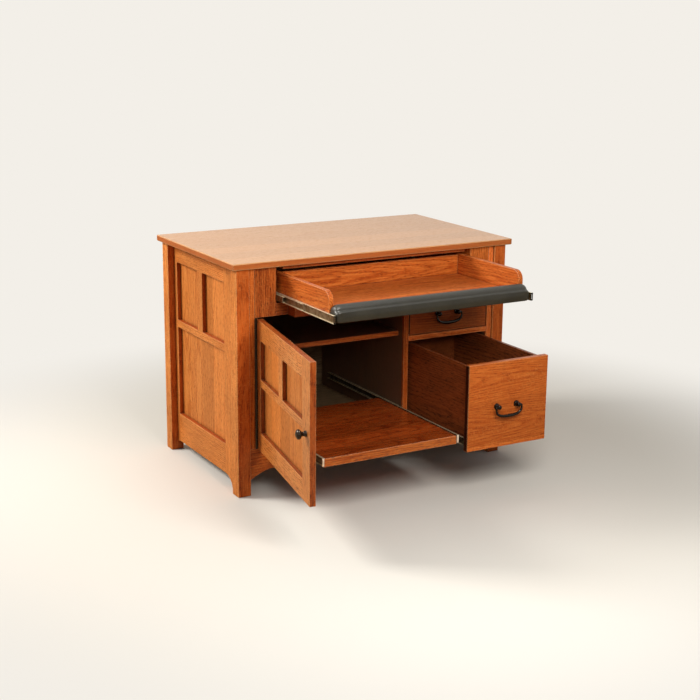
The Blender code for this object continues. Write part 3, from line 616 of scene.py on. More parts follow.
@dataclass(frozen=True)
class GrainedVinyl:
    """Calendered upholstery vinyl, embossed with a fine hide grain: green-black, half dull, pale along its folds."""

    body: str = "#222119"
    hollow: str = "#14140f"
    crown: str = "#343127"
    # Real hide grain is near 0.8 mm; it is drawn at 2.2 mm so that it shows
    grain_mm: float = 2.2
    warp_mm: float = 5.0
    warp_by_mm: float = 1.5
    cloud_mm: float = 55.0
    roughness: float = 0.34

    def material(self, name: str) -> Material:
        """Makes the vinyl.

        Args:
            name: the material's name.

        Returns:
            The material.
        """
        material, node = new_material(name)
        spot = node(PLACE).outputs["Object"]
        warp = node(NOISE, {"Vector": spot, "Scale": 1 / (self.warp_mm * MM), "Detail": 2.0}).outputs[1]
        moved = node(VECTOR, {0: warp, 1: (self.warp_by_mm * MM,) * 3, 2: spot}, "MULTIPLY_ADD")
        pebble = node("ShaderNodeTexVoronoi", {"Vector": moved, "Scale": 1 / (self.grain_mm * MM)},
                      feature="DISTANCE_TO_EDGE")
        crease = node(RANGE, {0: pebble, 1: 0.0, 2: 0.22})
        colour = node(RAMP, {0: node(NOISE, {"Vector": spot, "Scale": 1 / (self.cloud_mm * MM), "Detail": 3.0})})
        set_ramp(colour, ((0.3, linear(self.body)), (0.75, linear(self.crown))))
        shade = node(MIX, {0: crease, 6: linear(self.hollow), 7: colour}, data_type="RGBA")
        rough = node(MATH, {0: crease, 1: -0.12, 2: self.roughness + 0.1}, "MULTIPLY_ADD")
        bump = node(BUMP, {"Strength": 0.3, "Distance": 0.4 * MM, "Height": crease})
        node(OUTPUT, {0: node(SURFACE, {
            "Base Color": shade, "Roughness": rough, "Normal": bump, "IOR": 1.5, "Specular IOR Level": 0.62})})
        return material


class Edge(Enum):
    """How wide a piece's eased edges are, in metres."""

    SANDED = 0.0012
    PRESSED = 0.00035


def ease_edges(piece: Object, edge: Edge, steps: int = 2, flat_to: float = 0.4, sharp_from: float = 50.0) -> None:
    """Rounds a piece's sharp edges over as sandpaper or a press tool does.

    Args:
        piece: the piece.
        edge: the kind of edge.
        steps: how many faces round an edge.
        flat_to: the fold, in degrees, up to which neighbouring faces are one flat.
        sharp_from: the fold, in degrees, from which an edge is rounded.
    """
    weld = piece.modifiers.new("joined", "WELD")
    weld.merge_threshold = JOIN_WITHIN
    flat = piece.modifiers.new("flats", "DECIMATE")
    flat.decimate_type = "DISSOLVE"
    flat.angle_limit = math.radians(flat_to)
    ease = piece.modifiers.new("eased", "BEVEL")
    ease.width = edge.value
    ease.segments = steps
    ease.limit_method = "ANGLE"
    ease.angle_limit = math.radians(sharp_from)


class Casting(Enum):
    """How a cast piece fills out past its plain solid: share across its axis, and metres round its hanging bar."""

    PLAIN = (0.0, 0.0)
    POST = (0.14, 0.0)
    BAIL = (0.0, 0.0011)


def smooth_turning(casting: Casting, ends: Span = (0.011, 0.020), sharp_from: float = 40.0) -> NodeTree:
    """Makes the smoothing for turned and cast pieces: facets join, and only sharp folds stay.

    Args:
        casting: how the piece fills out. A bail's ends keep their size, because they turn in the posts.
        ends: how far below its top a bail starts to fill out, and where it is full.
        sharp_from: the fold, in degrees, from which an edge stays sharp.

    Returns:
        The geometry node group.
    """
    broad, stout = casting.value
    group = bpy.data.node_groups.new(f"smooth_turning_{casting.name.lower()}", "GeometryNodeTree")
    for way in ("INPUT", "OUTPUT"):
        group.interface.new_socket("Geometry", in_out=way, socket_type="NodeSocketGeometry")
    node = partial(add_node, group)
    shape = node("GeometryNodeMergeByDistance", {0: node("NodeGroupInput"), "Distance": JOIN_WITHIN})
    shape = node("GeometryNodeRemoveAttribute", {0: shape, "Name": "custom_normal"})
    if casting is not Casting.PLAIN:
        box = node("GeometryNodeBoundBox", {0: shape}).outputs
        spot = node("GeometryNodeInputPosition")
        both = node(VECTOR, {0: box["Min"], 1: box["Max"]}, "ADD")
        middle = node(VECTOR, {0: both, "Scale": 0.5}, "SCALE")
        out = node(VECTOR, {0: spot, 1: middle}, "SUBTRACT")
        out = node(VECTOR, {0: out, 1: (broad, 0.0, broad)}, "MULTIPLY")
        hung = node(SPLIT, {0: node(VECTOR, {0: box["Max"], 1: spot}, "SUBTRACT")}).outputs["Z"]
        more = node(RANGE, {0: hung, 1: ends[0], 2: ends[1], 3: 0.0, 4: stout})
        bar = node(VECTOR, {0: node("GeometryNodeInputNormal"), "Scale": more}, "SCALE")
        full = node(VECTOR, {0: out, 1: bar}, "ADD")
        shape = node("GeometryNodeSetPosition", {0: shape, "Offset": full})
    fold = node("GeometryNodeInputMeshEdgeAngle")
    soft = node("FunctionNodeCompare", {0: fold, 1: math.radians(sharp_from)}, "LESS_THAN")
    for domain, smooth in (("FACE", True), ("EDGE", soft)):
        shape = node("GeometryNodeSetShadeSmooth", {0: shape, "Shade Smooth": smooth}, domain=domain)
    node("NodeGroupOutput", {0: shape})
    return group


def middle_of(node: str) -> Vector:
    """The middle of a CAD node's box."""
    low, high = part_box(node)
    return (low + high) / 2


def wear(node: str, material: Material) -> None:
    """Gives a CAD node its material."""
    NODES[node].data.materials.clear()
    NODES[node].data.materials.append(material)


def new_object(name: str, data: Any) -> Object:
    """Makes an object and links it to the scene.

    Args:
        name: the object's name.
        data: its mesh, lamp or lens.

    Returns:
        The object.
    """
    made = bpy.data.objects.new(name, data)
    bpy.context.scene.collection.objects.link(made)
    return made


def skin(mesh: BMesh, rings: Sequence[Sequence[BMVert]], capped: bool = True) -> None:
    """Joins rings of points into a closed shape.

    Args:
        mesh: the mesh that takes the faces.
        rings: the rings, with the same number of points in each.
        capped: whether a face closes each end. Otherwise the last ring joins the first.
    """
    for one, two in zip(rings, [*rings[1:], *(() if capped else rings[:1])]):
        for k in range(len(one)):
            nxt = (k + 1) % len(one)
            mesh.faces.new((one[k], one[nxt], two[nxt], two[k]))
    if capped:
        mesh.faces.new(rings[0])
        mesh.faces.new(tuple(reversed(rings[-1])))


def keep_mesh(name: str, mesh: BMesh, material: Material, body: str, smooth: bool = True) -> Object:
    """Turns a built mesh into a piece that rides on a body.

    Args:
        name: the piece's name.
        mesh: the built mesh, which is freed.
        material: its material.
        body: the CAD body that it moves with.
        smooth: whether its faces are shaded smooth.

    Returns:
        The piece.
    """
    bmesh.ops.recalc_face_normals(mesh, faces=mesh.faces)
    data = bpy.data.meshes.new(name)
    for face in mesh.faces:
        face.smooth = smooth
    mesh.to_mesh(data)
    mesh.free()
    data.materials.append(material)
    piece = new_object(name, data)
    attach(piece, body)
    return piece


@dataclass
class Woodwork:
    """Dresses boards in oak, each from its own part of the log."""

    count: int = 0

    def dress(self, oak: Oak, lay: Lay, nodes: Iterable[str], eased: bool = True, turn: Optional[Turn] = None,
              rails: Optional[Rails] = None) -> None:
        """Gives each node its own oak.

        Args:
            oak: the kind of oak.
            lay: how the boards lie.
            nodes: the CAD nodes.
            eased: whether their edges are sanded round.
            turn: the pieces' turn, where they stand askew.
            rails: the cross rails of a joined frame.
        """
        for name in nodes:
            self.count += 1
            material, node = new_material(f"satin_lacquered_oak_{name}")
            OakNodes(oak, node, lay, middle_of(name), self.count, turn, rails).build()
            wear(name, material)
            if eased:
                ease_edges(NODES[name], Edge.SANDED)


@dataclass
class Case:
    """The fixed case: top, legs, framed sides, front frame, inside boards."""

    wood: Woodwork
    # Side frame: the room between its stiles, and its rails' heights
    side_inner: Span = (0.1179, 0.5043)
    side_rails: tuple[Span, ...] = ((0.03, 0.139), (0.4565, 0.4822), (0.6872, 0.80))
    top_board: float = 0.098
    panel_board: float = 0.094
    # Behind this depth the inside boards are mixed toward a dull dark brown, partly sealer and partly painted shade
    inside_from: float = -0.018
    # How far the upper shelf's front edge is lacquered; behind it the top is mixed toward a dull dark brown, partly
    # sealer and partly painted shade
    shelf_lip: float = 0.002

    def dress(self) -> None:
        """Dresses the case's boards."""
        dress, inside = self.wood.dress, self.inside_from
        shelf_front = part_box("upper_shelf")[0].y
        dress(Oak(TOP_STAIN, Cut.RIFT, self.top_board, gloss=0.30, coat=0.42, contrast=0.45, deeper=Deeper.EDGES),
              Lay.ALONG_X_FLAT, ["top_panel"])
        dress(Oak(SIDE_STAIN, ray_share=0.6, deeper=Deeper.EDGES, deeper_stain_and_shade_tint="#e4b89c"), Lay.UPRIGHT_FACING_SIDE,
              [f"{side}_{end}_leg" for side in ("left", "right") for end in ("front", "rear")])
        # The frames' recess walls are painted darker, partly as stain and partly as painted shade
        dress(Oak(SIDE_STAIN, deeper=Deeper.EDGES), Lay.UPRIGHT_FACING_SIDE,
              ["left_side_frame", "right_side_frame"],
              rails=Rails(Lay.ALONG_Y_UPRIGHT, self.side_inner, self.side_rails))
        for oak, lay, nodes in (
                (Oak(SIDE_STAIN, Cut.RIFT, self.panel_board), Lay.UPRIGHT_FACING_SIDE,
                 ["left_side_panel", "right_side_panel"]),
                (Oak(FRONT_STAIN), Lay.UPRIGHT_FACING_FRONT, ["right_tray_cheek"]),
                (Oak(PAINTED_SHADE_STAIN, contrast=1.9), Lay.UPRIGHT_FACING_FRONT, ["left_tray_cheek"]),
                (Oak(FRONT_STAIN, sealer_and_shade_from=inside), Lay.UPRIGHT_FACING_FRONT, ["left_lining"]),
                (Oak(PAINTED_LIGHT_STAIN, sealer_and_shade_from=inside), Lay.UPRIGHT_FACING_FRONT, ["right_lining"]),
                (Oak(PAINTED_SHADE_STAIN, sealer_and_shade_from=inside), Lay.UPRIGHT_FACING_FRONT, ["partition"]),
                (Oak(PAINTED_SHADE_STAIN, Cut.RIFT), Lay.ALONG_X_UPRIGHT, ["front_apron", "top_rail", "tray_rail"]),
                (Oak(PAINTED_LIGHT_STAIN, Cut.RIFT, corner_glaze_and_shade=0.2, sealer_and_shade_from=inside), Lay.ALONG_X_UPRIGHT, ["drawer_deck"]),
                (Oak(FRONT_STAIN, Cut.RIFT, sealer_and_shade_from=shelf_front + self.shelf_lip), Lay.ALONG_X_UPRIGHT,
                 ["upper_shelf"]),
                (Oak(INSIDE_STAIN, Cut.RIFT, self.top_board), Lay.ALONG_X_FLAT, ["floor_panel"]),
                (Oak(INSIDE_STAIN, Cut.PLAIN, self.top_board), Lay.ALONG_X_UPRIGHT, ["back_panel"]),
                (Oak(INSIDE_STAIN, Cut.RIFT), Lay.ALONG_Y_UPRIGHT, ["shelf_cleat"])):
            dress(oak, lay, nodes)
        LOG.info("case: %d boards", self.wood.count)


@dataclass
class LaptopTray:
    """The pull-out tray: board, low sides, back."""

    wood: Woodwork
    board: float = 0.09

    def dress(self) -> None:
        """Dresses the tray's boards."""
        self.wood.dress(Oak(FRONT_STAIN, Cut.RIFT, self.board), Lay.ALONG_X_FLAT, ["tray_board"])
        self.wood.dress(Oak(FRONT_STAIN, Cut.PLAIN), Lay.ALONG_Y_UPRIGHT, ["tray_left_side", "tray_right_side"])
        self.wood.dress(Oak(FRONT_STAIN, Cut.PLAIN), Lay.ALONG_X_UPRIGHT, ["tray_back"])
        LOG.info("tray: 4 boards")


@dataclass
class PanelDoor:
    """The door: a joined frame over a flat panel, stored open on its long hinge."""

    wood: Woodwork
    axis: Span = (-0.428393, -0.028678)
    open_degrees: float = 100.6
    # From the hinge line: the room between the stiles, and the rails' heights
    inner: Span = (0.0395, 0.483)
    rails: tuple[Span, ...] = ((0.15, 0.2215), (0.3755, 0.4005), (0.5265, 0.60))
    panel_board: float = 0.10

    def dress(self) -> None:
        """Dresses the door's frame and panel."""
        turn = Turn(*self.axis, self.open_degrees)
        # The frame's edges and recess walls are painted darker, partly as stain and partly as painted shade
        self.wood.dress(Oak(SIDE_STAIN, gloss=0.30, coat=0.35, ray_share=1.0, contrast=1.5, corner_glaze_and_shade=0.2,
                            deeper=Deeper.EDGES, deeper_stain_and_shade_tint="#bc947c"), Lay.UPRIGHT_FACING_FRONT, ["door_frame"],
                        turn=turn, rails=Rails(Lay.ALONG_X_UPRIGHT, self.inner, self.rails))
        self.wood.dress(Oak(SIDE_STAIN, Cut.RIFT, self.panel_board), Lay.UPRIGHT_FACING_FRONT, ["door_panel"],
                        turn=turn)
        LOG.info("door: frame and panel")


@dataclass
class Drawer:
    """A drawer: its front, box and bottom."""

    wood: Woodwork
    name: str
    stain: Stain = FRONT_STAIN
    board: float = 0.15

    def dress(self) -> None:
        """Dresses the drawer's boards."""
        # The fronts' end faces are painted near black: partly end grain that drank stain, partly painted shade where
        # an end lies in shade
        front = Oak(self.stain, Cut.PLAIN, self.board, ray_share=0.9, contrast=0.85, deeper=Deeper.ENDS,
                    deeper_stain_and_shade_tint="#463228", pore_mm=(11.0, 2.2))
        self.wood.dress(front, Lay.ALONG_X_UPRIGHT, [f"{self.name}_front"])
        self.wood.dress(Oak(BOX_STAIN, Cut.RIFT, contrast=1.9), Lay.ALONG_Y_UPRIGHT, [f"{self.name}_box"])
        self.wood.dress(Oak(INSIDE_STAIN, Cut.RIFT), Lay.ALONG_X_FLAT, [f"{self.name}_bottom"], eased=False)
        LOG.info("%s: front, box and bottom", self.name)


@dataclass
class SlidingShelf:
    """The pull-out shelf."""

    wood: Woodwork
    board: float = 0.085

    def dress(self) -> None:
        """Dresses the shelf's board."""
        self.wood.dress(Oak(FRONT_STAIN, Cut.PLAIN, self.board, gloss=0.24, coat=0.45, contrast=1.7,
                            deeper=Deeper.FACES, deeper_stain_and_shade_tint="#d0b0a4"), Lay.ALONG_X_FLAT, ["sliding_shelf"])
        LOG.info("sliding shelf")


@dataclass
class Hardware:
    """Slides, hinge, knob and pulls."""

    zinc: ZincPlatedSteel = field(default_factory=ZincPlatedSteel)
    # The shelf's and file drawer's slides: duller plate and darker grease, as painted shade for slides that lie in
    # shade
    zinc_in_painted_shade: ZincPlatedSteel = field(default_factory=lambda: ZincPlatedSteel("#d8ccae", "#b8ab8c", "#2c2114"))
    bronze: OilRubbedBronze = field(default_factory=OilRubbedBronze)
    handled: OilRubbedBronze = field(default_factory=lambda: OilRubbedBronze("#221a13", "#6e5842", 0.15))
    hinge: OilRubbedBronze = field(default_factory=lambda: OilRubbedBronze("#2a211a", "#5c4630", 0.45))

    def dress(self) -> None:
        """Dresses every metal piece."""
        bronze = self.bronze.material("oil_rubbed_cast_bronze")
        cast = {"knob": (self.handled.material("hand_worn_cast_bronze"), Casting.PLAIN),
                "leaf": (self.hinge.material("browned_steel_hinge"), Casting.PLAIN),
                "post": (bronze, Casting.POST), "bail": (bronze, Casting.BAIL)}
        smoothing = {casting: smooth_turning(casting) for casting in Casting}
        for name, node in NODES.items():
            kind = name.rsplit("_", 1)[-1]
            if kind == "channel":
                low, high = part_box(name)
                open_way = (1.0 if "right" in name else -1.0) * (-1.0 if "fixed" in name else 1.0)
                zinc = self.zinc if name.startswith("tray") else self.zinc_in_painted_shade
                wear(name, zinc.material(f"grease_and_shade_zinc_plated_steel_{name}", open_way,
                                         high.x if open_way > 0 else low.x))
                ease_edges(node, Edge.PRESSED)
            elif kind in cast:
                material, casting = cast[kind]
                wear(name, material)
                node.modifiers.new("turned", "NODES").node_group = smoothing[casting]
        LOG.info("hardware: slides, hinge, knob and pulls")


@dataclass
class SlideEnds:
    """The slides' pressed front ends: a slotted plate on each of the tray's, a rolled lip on each of the shelf's.

    Sizes in metres: the sheet, how far a plate stands out past the lips, its corners and slot, the roll's radius,
    and the gap to the channel.
    """

    zinc: ZincPlatedSteel = field(default_factory=lambda: ZincPlatedSteel("#fffaf0", "#f2ead8", "#a8946c"))
    black: OilRubbedBronze = field(default_factory=lambda: OilRubbedBronze("#120f0c", "#2a221a", 0.5))
    sheet: float = 0.0014
    stand_out: float = 0.0022
    corner: float = 0.0012
    slot: Span = (0.0022, 0.0170)
    roll: float = 0.0027
    clear: float = 0.0002
    # How many points round a corner, and how many steps round the roll
    corner_points: int = 6
    roll_steps: int = 12

    def build(self) -> None:
        """Builds the four ends."""
        zinc = self.zinc.material("clear_zinc_plated_steel")
        black = self.black.material("blackened_steel_stop")
        for side, sign in (("left", -1.0), ("right", 1.0)):
            plate = keep_mesh(f"tray_{side}_slide_end", self.plate(f"tray_{side}_moving_channel", sign),
                              black, "tray", smooth=False)
            lip = keep_mesh(f"shelf_{side}_slide_end", self.lip(f"shelf_{side}_moving_channel", sign),
                            zinc, "shelf")
            for piece in (plate, lip):
                ease_edges(piece, Edge.PRESSED)
        LOG.info("slide ends: two plates and two rolled lips")

    def plate(self, channel: str, sign: float) -> BMesh:
        """Cuts a round-cornered plate with a slot, just in front of a channel.

        Args:
            channel: the channel's node.
            sign: 1 where the channel opens to the right, -1 to the left.

        Returns:
            The plate's mesh.
        """
        low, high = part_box(channel)
        web, tips = (low.x, high.x + self.stand_out) if sign > 0 else (high.x, low.x - self.stand_out)
        middle = ((web + tips) / 2, (low.z + high.z) / 2)
        outer = self.rounded(middle, abs(tips - web), high.z - low.z, self.corner)
        inner = self.rounded(middle, *self.slot, self.slot[0] / 2 - JOIN_WITHIN)
        mesh = bmesh.new()
        skin(mesh, [[mesh.verts.new((x, low.y - self.clear - back * self.sheet, z)) for x, z in outline]
                    for outline, back in ((outer, 0), (outer, 1), (inner, 1), (inner, 0))], capped=False)
        return mesh

    def rounded(self, middle: Span, width: float, height: float, radius: float) -> list[Span]:
        """Points round a rectangle with round corners.

        Args:
            middle: its middle.
            width: its width.
            height: its height.
            radius: its corners' radius.

        Returns:
            The points.
        """
        points = []
        for corner, (across, up) in enumerate(((1, 1), (-1, 1), (-1, -1), (1, -1))):
            for k in range(self.corner_points):
                turn = math.pi / 2 * (corner + k / (self.corner_points - 1))
                points.append((middle[0] + across * (width / 2 - radius) + radius * math.cos(turn),
                               middle[1] + up * (height / 2 - radius) + radius * math.sin(turn)))
        return points

    def lip(self, channel: str, sign: float) -> BMesh:
        """Rolls a strip from a channel's web over its open front.

        Args:
            channel: the channel's node.
            sign: 1 where the channel opens to the right, -1 to the left.

        Returns:
            The strip's mesh.
        """
        low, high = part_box(channel)
        web = low.x if sign > 0 else high.x
        front = low.y - self.clear
        mesh = bmesh.new()
        steps = self.roll_steps
        rows = []
        for k in range(steps + 3):
            turn = math.pi * min(max(k - 1, 0), steps) / steps
            straight = 0.0 if 0 < k < steps + 2 else self.sheet
            row = []
            for radius in (self.roll + self.sheet / 2, self.roll - self.sheet / 2):
                x = web + sign * (self.roll + self.sheet / 2 - radius * math.cos(turn))
                y = front - self.sheet - radius * math.sin(turn) + straight
                row += [mesh.verts.new((x, y, z)) for z in (low.z, high.z)]
            rows.append((row[0], row[1], row[3], row[2]))
        skin(mesh, rows)
        return mesh


@dataclass
class WristPad:
    """The padded rest along the tray's front: foam on a board, wrapped in vinyl that is stretched and tucked under.

    Sizes in metres: how far the foam lies inside the wrapped shape, the voxel, and how far the vinyl may swell.
    """

    vinyl: GrainedVinyl = field(default_factory=GrainedVinyl)
    set_in: float = 0.0030
    back_in: float = 0.0006
    bottom_in: float = 0.001
    # The foam's section from back bottom round the front to back top, as shares of its depth and height
    section: tuple[Span, ...] = (
        (1.0, 0.0), (0.10, 0.0), (0.03, 0.04), (0.0, 0.12), (0.0, 0.35), (0.0, 0.56), (0.02, 0.62), (0.06, 0.67),
        (0.12, 0.72), (0.20, 0.79), (0.30, 0.87), (0.42, 0.95), (0.57, 1.0), (0.75, 1.0), (0.90, 0.95), (1.0, 0.84))
    # How the ends round in: over what length, and how far the section shrinks in depth and height and lifts
    end_round: float = 0.018
    end_shrink: Span = (0.14, 0.42)
    end_lift: float = 0.08
    end_steps: int = 8
    run_steps: int = 24
    # The even mesh, and how strongly and how often it is smoothed
    voxel: float = 0.004
    rounding: tuple[float, int] = (0.5, 5)
    # The cloth: its pressure, stiffness in its plane and against bending, steps, cap, the margin that is tacked
    # down, and the gap left behind it
    pressure: float = 3.0
    stretch: float = 18.0
    bend: float = 0.6
    frames: int = 20
    swell: float = 0.005
    tacked: float = 0.006
    behind: float = 0.0004
    # The seam: depth, width, the welt's height and how many widths it lies below, the seam's height as a share of
    # the pad's, how much all is drawn tight, and how far a face may turn back or down and still be sewn
    seam_depth: float = 0.0032
    seam_width: float = 0.0036
    welt: float = 0.0016
    welt_below: float = 1.5
    seam_height: float = 0.71
    tight: float = 0.0008
    turned_away: float = 0.3
    # At the ends: how far the seam dips, over what length, where it runs out, and the tucks' depth and spacing
    seam_dip: float = 0.006
    dip_over: float = 0.010
    run_out: float = 0.008
    tuck: float = 0.0001
    tuck_every: float = 0.0042

    def build(self) -> Object:
        """Builds the pad, swells it and sews its seam.

        Returns:
            The finished piece.
        """
        low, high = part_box("wrist_pad")
        material = self.vinyl.material("embossed_black_vinyl")
        piece = keep_mesh("wrist_rest", self.foam(low, high), material, "tray")
        self.remesh(piece)
        self.inflate(piece, low, high)
        self.sew(piece, low, high)
        smooth = piece.modifiers.new("stretched", "SUBSURF")
        smooth.levels = smooth.render_levels = 1
        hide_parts("wrist_pad")
        LOG.info("wrist rest: %d points", len(piece.data.vertices))
        return piece

    def foam(self, low: Vector, high: Vector) -> BMesh:
        """Shapes the foam: upright front, a shoulder that leans back, crowned top, ends that round in.

        Args:
            low: the pad's lowest corner.
            high: its highest corner.

        Returns:
            A closed mesh, a little inside the wrapped shape.
        """
        front, back = low.y + self.set_in, high.y - self.back_in
        bottom, top = low.z + self.bottom_in, high.z - self.set_in
        deep, tall = back - front, top - bottom
        section = [(front + u * deep, bottom + v * tall) for u, v in self.section]
        mesh = bmesh.new()
        skin(mesh, [[mesh.verts.new((x, back + (y - back) * (1 - shrink * self.end_shrink[0]),
                                     bottom + (z - bottom) * (1 - shrink * self.end_shrink[1])
                                     + shrink * self.end_lift * tall)) for y, z in section]
                    for x, shrink in self.stations(low.x, high.x)])
        return mesh

    def stations(self, left: float, right: float) -> list[Span]:
        """Places along the pad with how far the section draws in at each.

        Args:
            left: the left end.
            right: the right end.

        Returns:
            Place and share pairs, 0 in the run and 1 at the very end.
        """
        near, far = left + self.set_in, right - self.set_in
        turns = [math.pi / 2 * (k / self.end_steps) for k in range(self.end_steps + 1)]
        ends = [(self.end_round * (1 - math.cos(turn)), 1 - math.sin(turn)) for turn in turns]
        length = far - near - 2 * self.end_round
        run = [near + self.end_round + length * k / self.run_steps for k in range(1, self.run_steps)]
        return ([(near + d, s) for d, s in ends] + [(x, 0.0) for x in run]
                + [(far - d, s) for d, s in reversed(ends)])

    def remesh(self, piece: Object) -> None:
        """Remeshes the foam evenly, so that the vinyl can swell over it."""
        even = piece.modifiers.new("even", "REMESH")
        even.mode = "VOXEL"
        even.voxel_size = self.voxel
        rounded = piece.modifiers.new("rounded", "SMOOTH")
        rounded.factor, rounded.iterations = self.rounding
        self.apply(piece)

    def apply(self, piece: Object) -> None:
        """Replaces a piece's mesh by what its modifiers make of it."""
        graph = bpy.context.evaluated_depsgraph_get()
        made = bpy.data.meshes.new_from_object(piece.evaluated_get(graph))
        piece.modifiers.clear()
        piece.data = made
        for face in made.polygons:
            face.use_smooth = True

    def inflate(self, piece: Object, low: Vector, high: Vector) -> None:
        """Swells the vinyl with cloth under pressure, held at the back and underneath, within a cap.

        Args:
            piece: the remeshed pad.
            low: the pad's lowest corner.
            high: its highest corner.
        """
        start = [v.co.copy() for v in piece.data.vertices]
        held = piece.vertex_groups.new(name="tucked")
        held.add([v.index for v in piece.data.vertices
                  if v.co.y > high.y - self.tacked or v.co.z < low.z + self.tacked], 1.0, "REPLACE")
        cloth = piece.modifiers.new("vinyl", "CLOTH")
        cloth.settings.vertex_group_mass = held.name
        cloth.settings.use_pressure = True
        cloth.settings.uniform_pressure_force = self.pressure
        cloth.settings.effector_weights.gravity = 0.0
        cloth.settings.tension_stiffness = self.stretch
        cloth.settings.compression_stiffness = self.stretch
        cloth.settings.bending_stiffness = self.bend
        cloth.point_cache.frame_end = self.frames
        scene = bpy.context.scene
        for step in range(1, self.frames + 1):
            scene.frame_set(step)
        self.apply(piece)
        scene.frame_set(1)
        piece.vertex_groups.clear()
        for vertex, home in zip(piece.data.vertices, start):
            move = vertex.co - home
            if move.length > self.swell:
                vertex.co = home + move.normalized() * self.swell
            vertex.co.x = min(max(vertex.co.x, low.x), high.x)
            vertex.co.y = min(max(vertex.co.y, low.y), high.y - self.behind)
            vertex.co.z = min(max(vertex.co.z, low.z), high.z)

    def sew(self, piece: Object, low: Vector, high: Vector) -> None:
        """Pulls a seam in where the top meets the front, with a welt below it and small tucks at both ends.

        Args:
            piece: the swollen pad.
            low: the pad's lowest corner.
            high: its highest corner.
        """
        seam = low.z + self.seam_height * (high.z - low.z)
        normals = [vertex.normal.copy() for vertex in piece.data.vertices]
        for vertex, normal in zip(piece.data.vertices, normals):
            spot = vertex.co
            if normal.y > self.turned_away or normal.z < -self.turned_away:
                continue
            end = min(spot.x - low.x, high.x - spot.x)
            near_end = math.exp(-end / self.dip_over)
            away = (spot.z - seam + self.seam_dip * near_end) / self.seam_width
            run_out = 1 - math.exp(-(end / self.run_out) ** 2)
            groove = run_out * math.exp(-away * away)
            roll = run_out * math.exp(-(away + self.welt_below) ** 2)
            tuck = math.sin((spot.y - low.y) / self.tuck_every) * near_end * self.tuck
            spot += normal * (self.welt * roll - self.seam_depth * groove + tuck - self.tight)
        piece.data.update()


class Lights(Enum):
    """What a lamp lights: everything, only the matt colour, or only the gloss."""

    ALL = 0
    COLOUR = 1
    GLOSS = 2


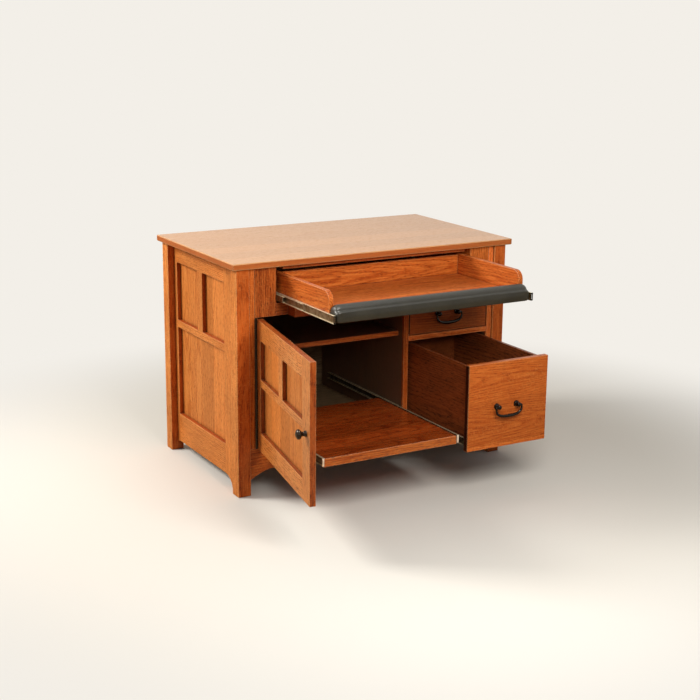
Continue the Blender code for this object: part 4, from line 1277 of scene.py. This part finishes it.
@dataclass
class Studio:
    """A plain pale floor under soft light from the front left, with a white sky."""

    floor_hex: str = "#dad8d3"
    # The warmer tone that the floor throws back onto the object
    bounce_hex: str = "#b9a284"
    sky_hex: str = "#f3efe8"
    floor_reach: float = 14.0
    floor_below: float = -0.0004
    fade: Span = (0.95, 2.1)
    sky: float = 0.22
    # The paler, stronger sky behind the object, which lights it softly and isn't seen itself, and the way back, from
    # 0 at the side to 1 straight behind, from which it starts and is full
    back_hex: str = "#fff1da"
    back_sky: float = 0.95
    back_from: Span = (0.2, 0.7)
    lamp_hex: str = "#fffaf2"
    # Where each soft lamp stands, how wide it is, its level on a face turned to it at the object's middle, and what
    # it lights. The low front one would glare in the top from behind, so the gloss has one overhead instead
    middle: Vector = field(default_factory=lambda: Vector((0.0, -0.1, 0.45)))
    lamps: tuple[tuple[str, tuple[float, float, float], float, float, Lights], ...] = (
        ("left_window", (-2.40, 1.30, 2.20), 1.0, 0.86, Lights.ALL),
        ("front_bank", (-0.28, -1.82, 1.62), 1.0, 0.92, Lights.COLOUR),
        ("overhead_gloss", (-0.50, -1.00, 2.90), 0.8, 0.80, Lights.GLOSS),
    )

    def build(self) -> None:
        """Builds the floor, the sky and the soft lamps."""
        self.floor()
        self.world()
        for name, place, width, level, lights in self.lamps:
            lamp = bpy.data.lights.new(name, "AREA")
            toward = Vector(place) - self.middle
            # At this power a square-on matt face shows the colour written for it, times the level
            lamp.energy = (math.pi * toward.length) ** 2 * level
            lamp.size = width
            lamp.color = linear(self.lamp_hex)[:3]
            stand = new_object(name, lamp)
            stand.location = place
            stand.rotation_mode = "QUATERNION"
            stand.rotation_quaternion = toward.to_track_quat("Z", "Y")
            stand.visible_camera = False
            stand.visible_glossy = lights is not Lights.COLOUR
            stand.visible_diffuse = lights is not Lights.GLOSS
        LOG.info("studio: floor, sky and %d lamps", len(self.lamps))

    def shown(self, node: Adder, *others: str) -> Any:
        """Finds the rays that show the studio itself, straight or mirrored, rather than its light.

        Args:
            node: adds to the floor's or the sky's nodes.
            others: the rays that show it besides the camera's own.

        Returns:
            What is 1 for such a ray and 0 for others.
        """
        path = node("ShaderNodeLightPath").outputs
        rays: Any = path["Is Camera Ray"]
        for other in others:
            rays = node(MATH, {0: rays, 1: path[other]}, "MAXIMUM")
        return rays

    def floor(self) -> None:
        """Lays the floor, which fades into the sky's own colour away from the object."""
        reach, below = self.floor_reach, self.floor_below
        data = bpy.data.meshes.new("studio_floor")
        data.from_pydata([(x * reach, y * reach, below) for x, y in ((-1, -1), (1, -1), (1, 1), (-1, 1))], [],
                         [(0, 1, 2, 3)])
        material, node = new_material("matt_pale_floor")
        away = node(VECTOR, {0: node(PLACE).outputs["Object"]}, "LENGTH")
        share = node(RANGE, {0: away, 1: self.fade[0], 2: self.fade[1]}, interpolation_type="SMOOTHSTEP")
        eye = self.shown(node, "Is Transmission Ray")
        seen = node(MATH, {0: eye, 1: share}, "MULTIPLY")
        tint = node(MIX, {0: eye, 6: linear(self.bounce_hex), 7: linear(self.floor_hex)}, data_type="RGBA")
        matt = node("ShaderNodeBsdfDiffuse", {"Color": tint})
        glow = node("ShaderNodeEmission", {"Color": linear(self.sky_hex), "Strength": 1.0})
        node(OUTPUT, {0: node("ShaderNodeMixShader", {0: seen, 1: matt, 2: glow})})
        data.materials.append(material)
        floor = new_object("studio_floor", data)

    def world(self) -> None:
        """Sets the sky: dim on the object, and the floor's own pale colour to the eye."""
        world = bpy.data.worlds.new("studio_sky")
        world.use_nodes = True
        world.node_tree.nodes.clear()
        node = partial(add_node, world.node_tree)
        way = node(SPLIT, {0: node(PLACE).outputs["Generated"]}).outputs["Y"]
        start, full = self.back_from
        behind = node(RANGE, {0: way, 1: start, 2: full}, interpolation_type="SMOOTHSTEP")
        tint = node(MIX, {0: behind, 6: linear("#ffffff"), 7: linear(self.back_hex)}, data_type="RGBA")
        level = node(RANGE, {0: behind, 3: self.sky, 4: self.back_sky})
        soft = node("ShaderNodeBackground", {"Color": tint, "Strength": level})
        plain = node("ShaderNodeBackground", {"Color": linear(self.sky_hex), "Strength": 1.0})
        eye = self.shown(node, "Is Glossy Ray", "Is Transmission Ray")
        node("ShaderNodeOutputWorld", {0: node("ShaderNodeMixShader", {0: eye, 1: soft, 2: plain})})
        bpy.context.scene.world = world


@dataclass
class PhotoCamera:
    """The photograph's viewpoint: place in metres, turns in degrees, and the lens on a 36 mm sensor."""

    place: tuple[float, float, float] = (-2.284635, -3.862359, 1.584454)
    yaw: float = -29.8725
    pitch: float = 14.4212
    roll: float = 0.5459
    lens: float = 70.73
    sensor: float = 36.0

    def build(self) -> None:
        """Places the camera."""
        yaw, pitch, roll = (math.radians(a) for a in (self.yaw, self.pitch, self.roll))
        right = Vector((math.cos(yaw), math.sin(yaw), 0))
        ahead = Vector((-math.sin(yaw) * math.cos(pitch), math.cos(yaw) * math.cos(pitch), -math.sin(pitch)))
        above = right.cross(ahead)
        tilted = math.cos(roll) * right + math.sin(roll) * above
        upward = -math.sin(roll) * right + math.cos(roll) * above
        matrix = Matrix((tilted, upward, -ahead)).transposed().to_4x4()
        matrix.translation = Vector(self.place)
        lens = bpy.data.cameras.new("photo_view")
        lens.lens = self.lens
        lens.sensor_width = self.sensor
        camera = new_object("photo_view", lens)
        camera.matrix_world = matrix
        bpy.context.scene.camera = camera
        LOG.info("camera placed")


def clear_strays() -> None:
    """Removes whatever the empty scene started with besides the frame."""
    known = set(NODES.values()) | set(frame["bodies"].values())
    for stray in [o for o in bpy.data.objects if o not in known]:
        bpy.data.objects.remove(stray)


def write_sizes() -> None:
    """Updates the view layer, so that the CAD model's and the dressed model's boxes are current."""
    bpy.context.view_layer.update()


def main() -> None:
    """Builds the scene in order."""
    logging.basicConfig(level=logging.INFO, format="%(name)s: %(message)s")
    clear_strays()
    bpy.context.scene.view_settings.view_transform = "Standard"
    PhotoCamera().build()
    Studio().build()
    wood = Woodwork()
    Case(wood).dress()
    LaptopTray(wood).dress()
    PanelDoor(wood).dress()
    Drawer(wood, "file_drawer").dress()
    # The small drawer's front takes the darker copy as painted shade under the tray
    Drawer(wood, "small_drawer", PAINTED_SHADE_STAIN).dress()
    SlidingShelf(wood).dress()
    Hardware().dress()
    SlideEnds().build()
    WristPad().build()
    write_sizes()


if __name__ == "__main__":
    main()
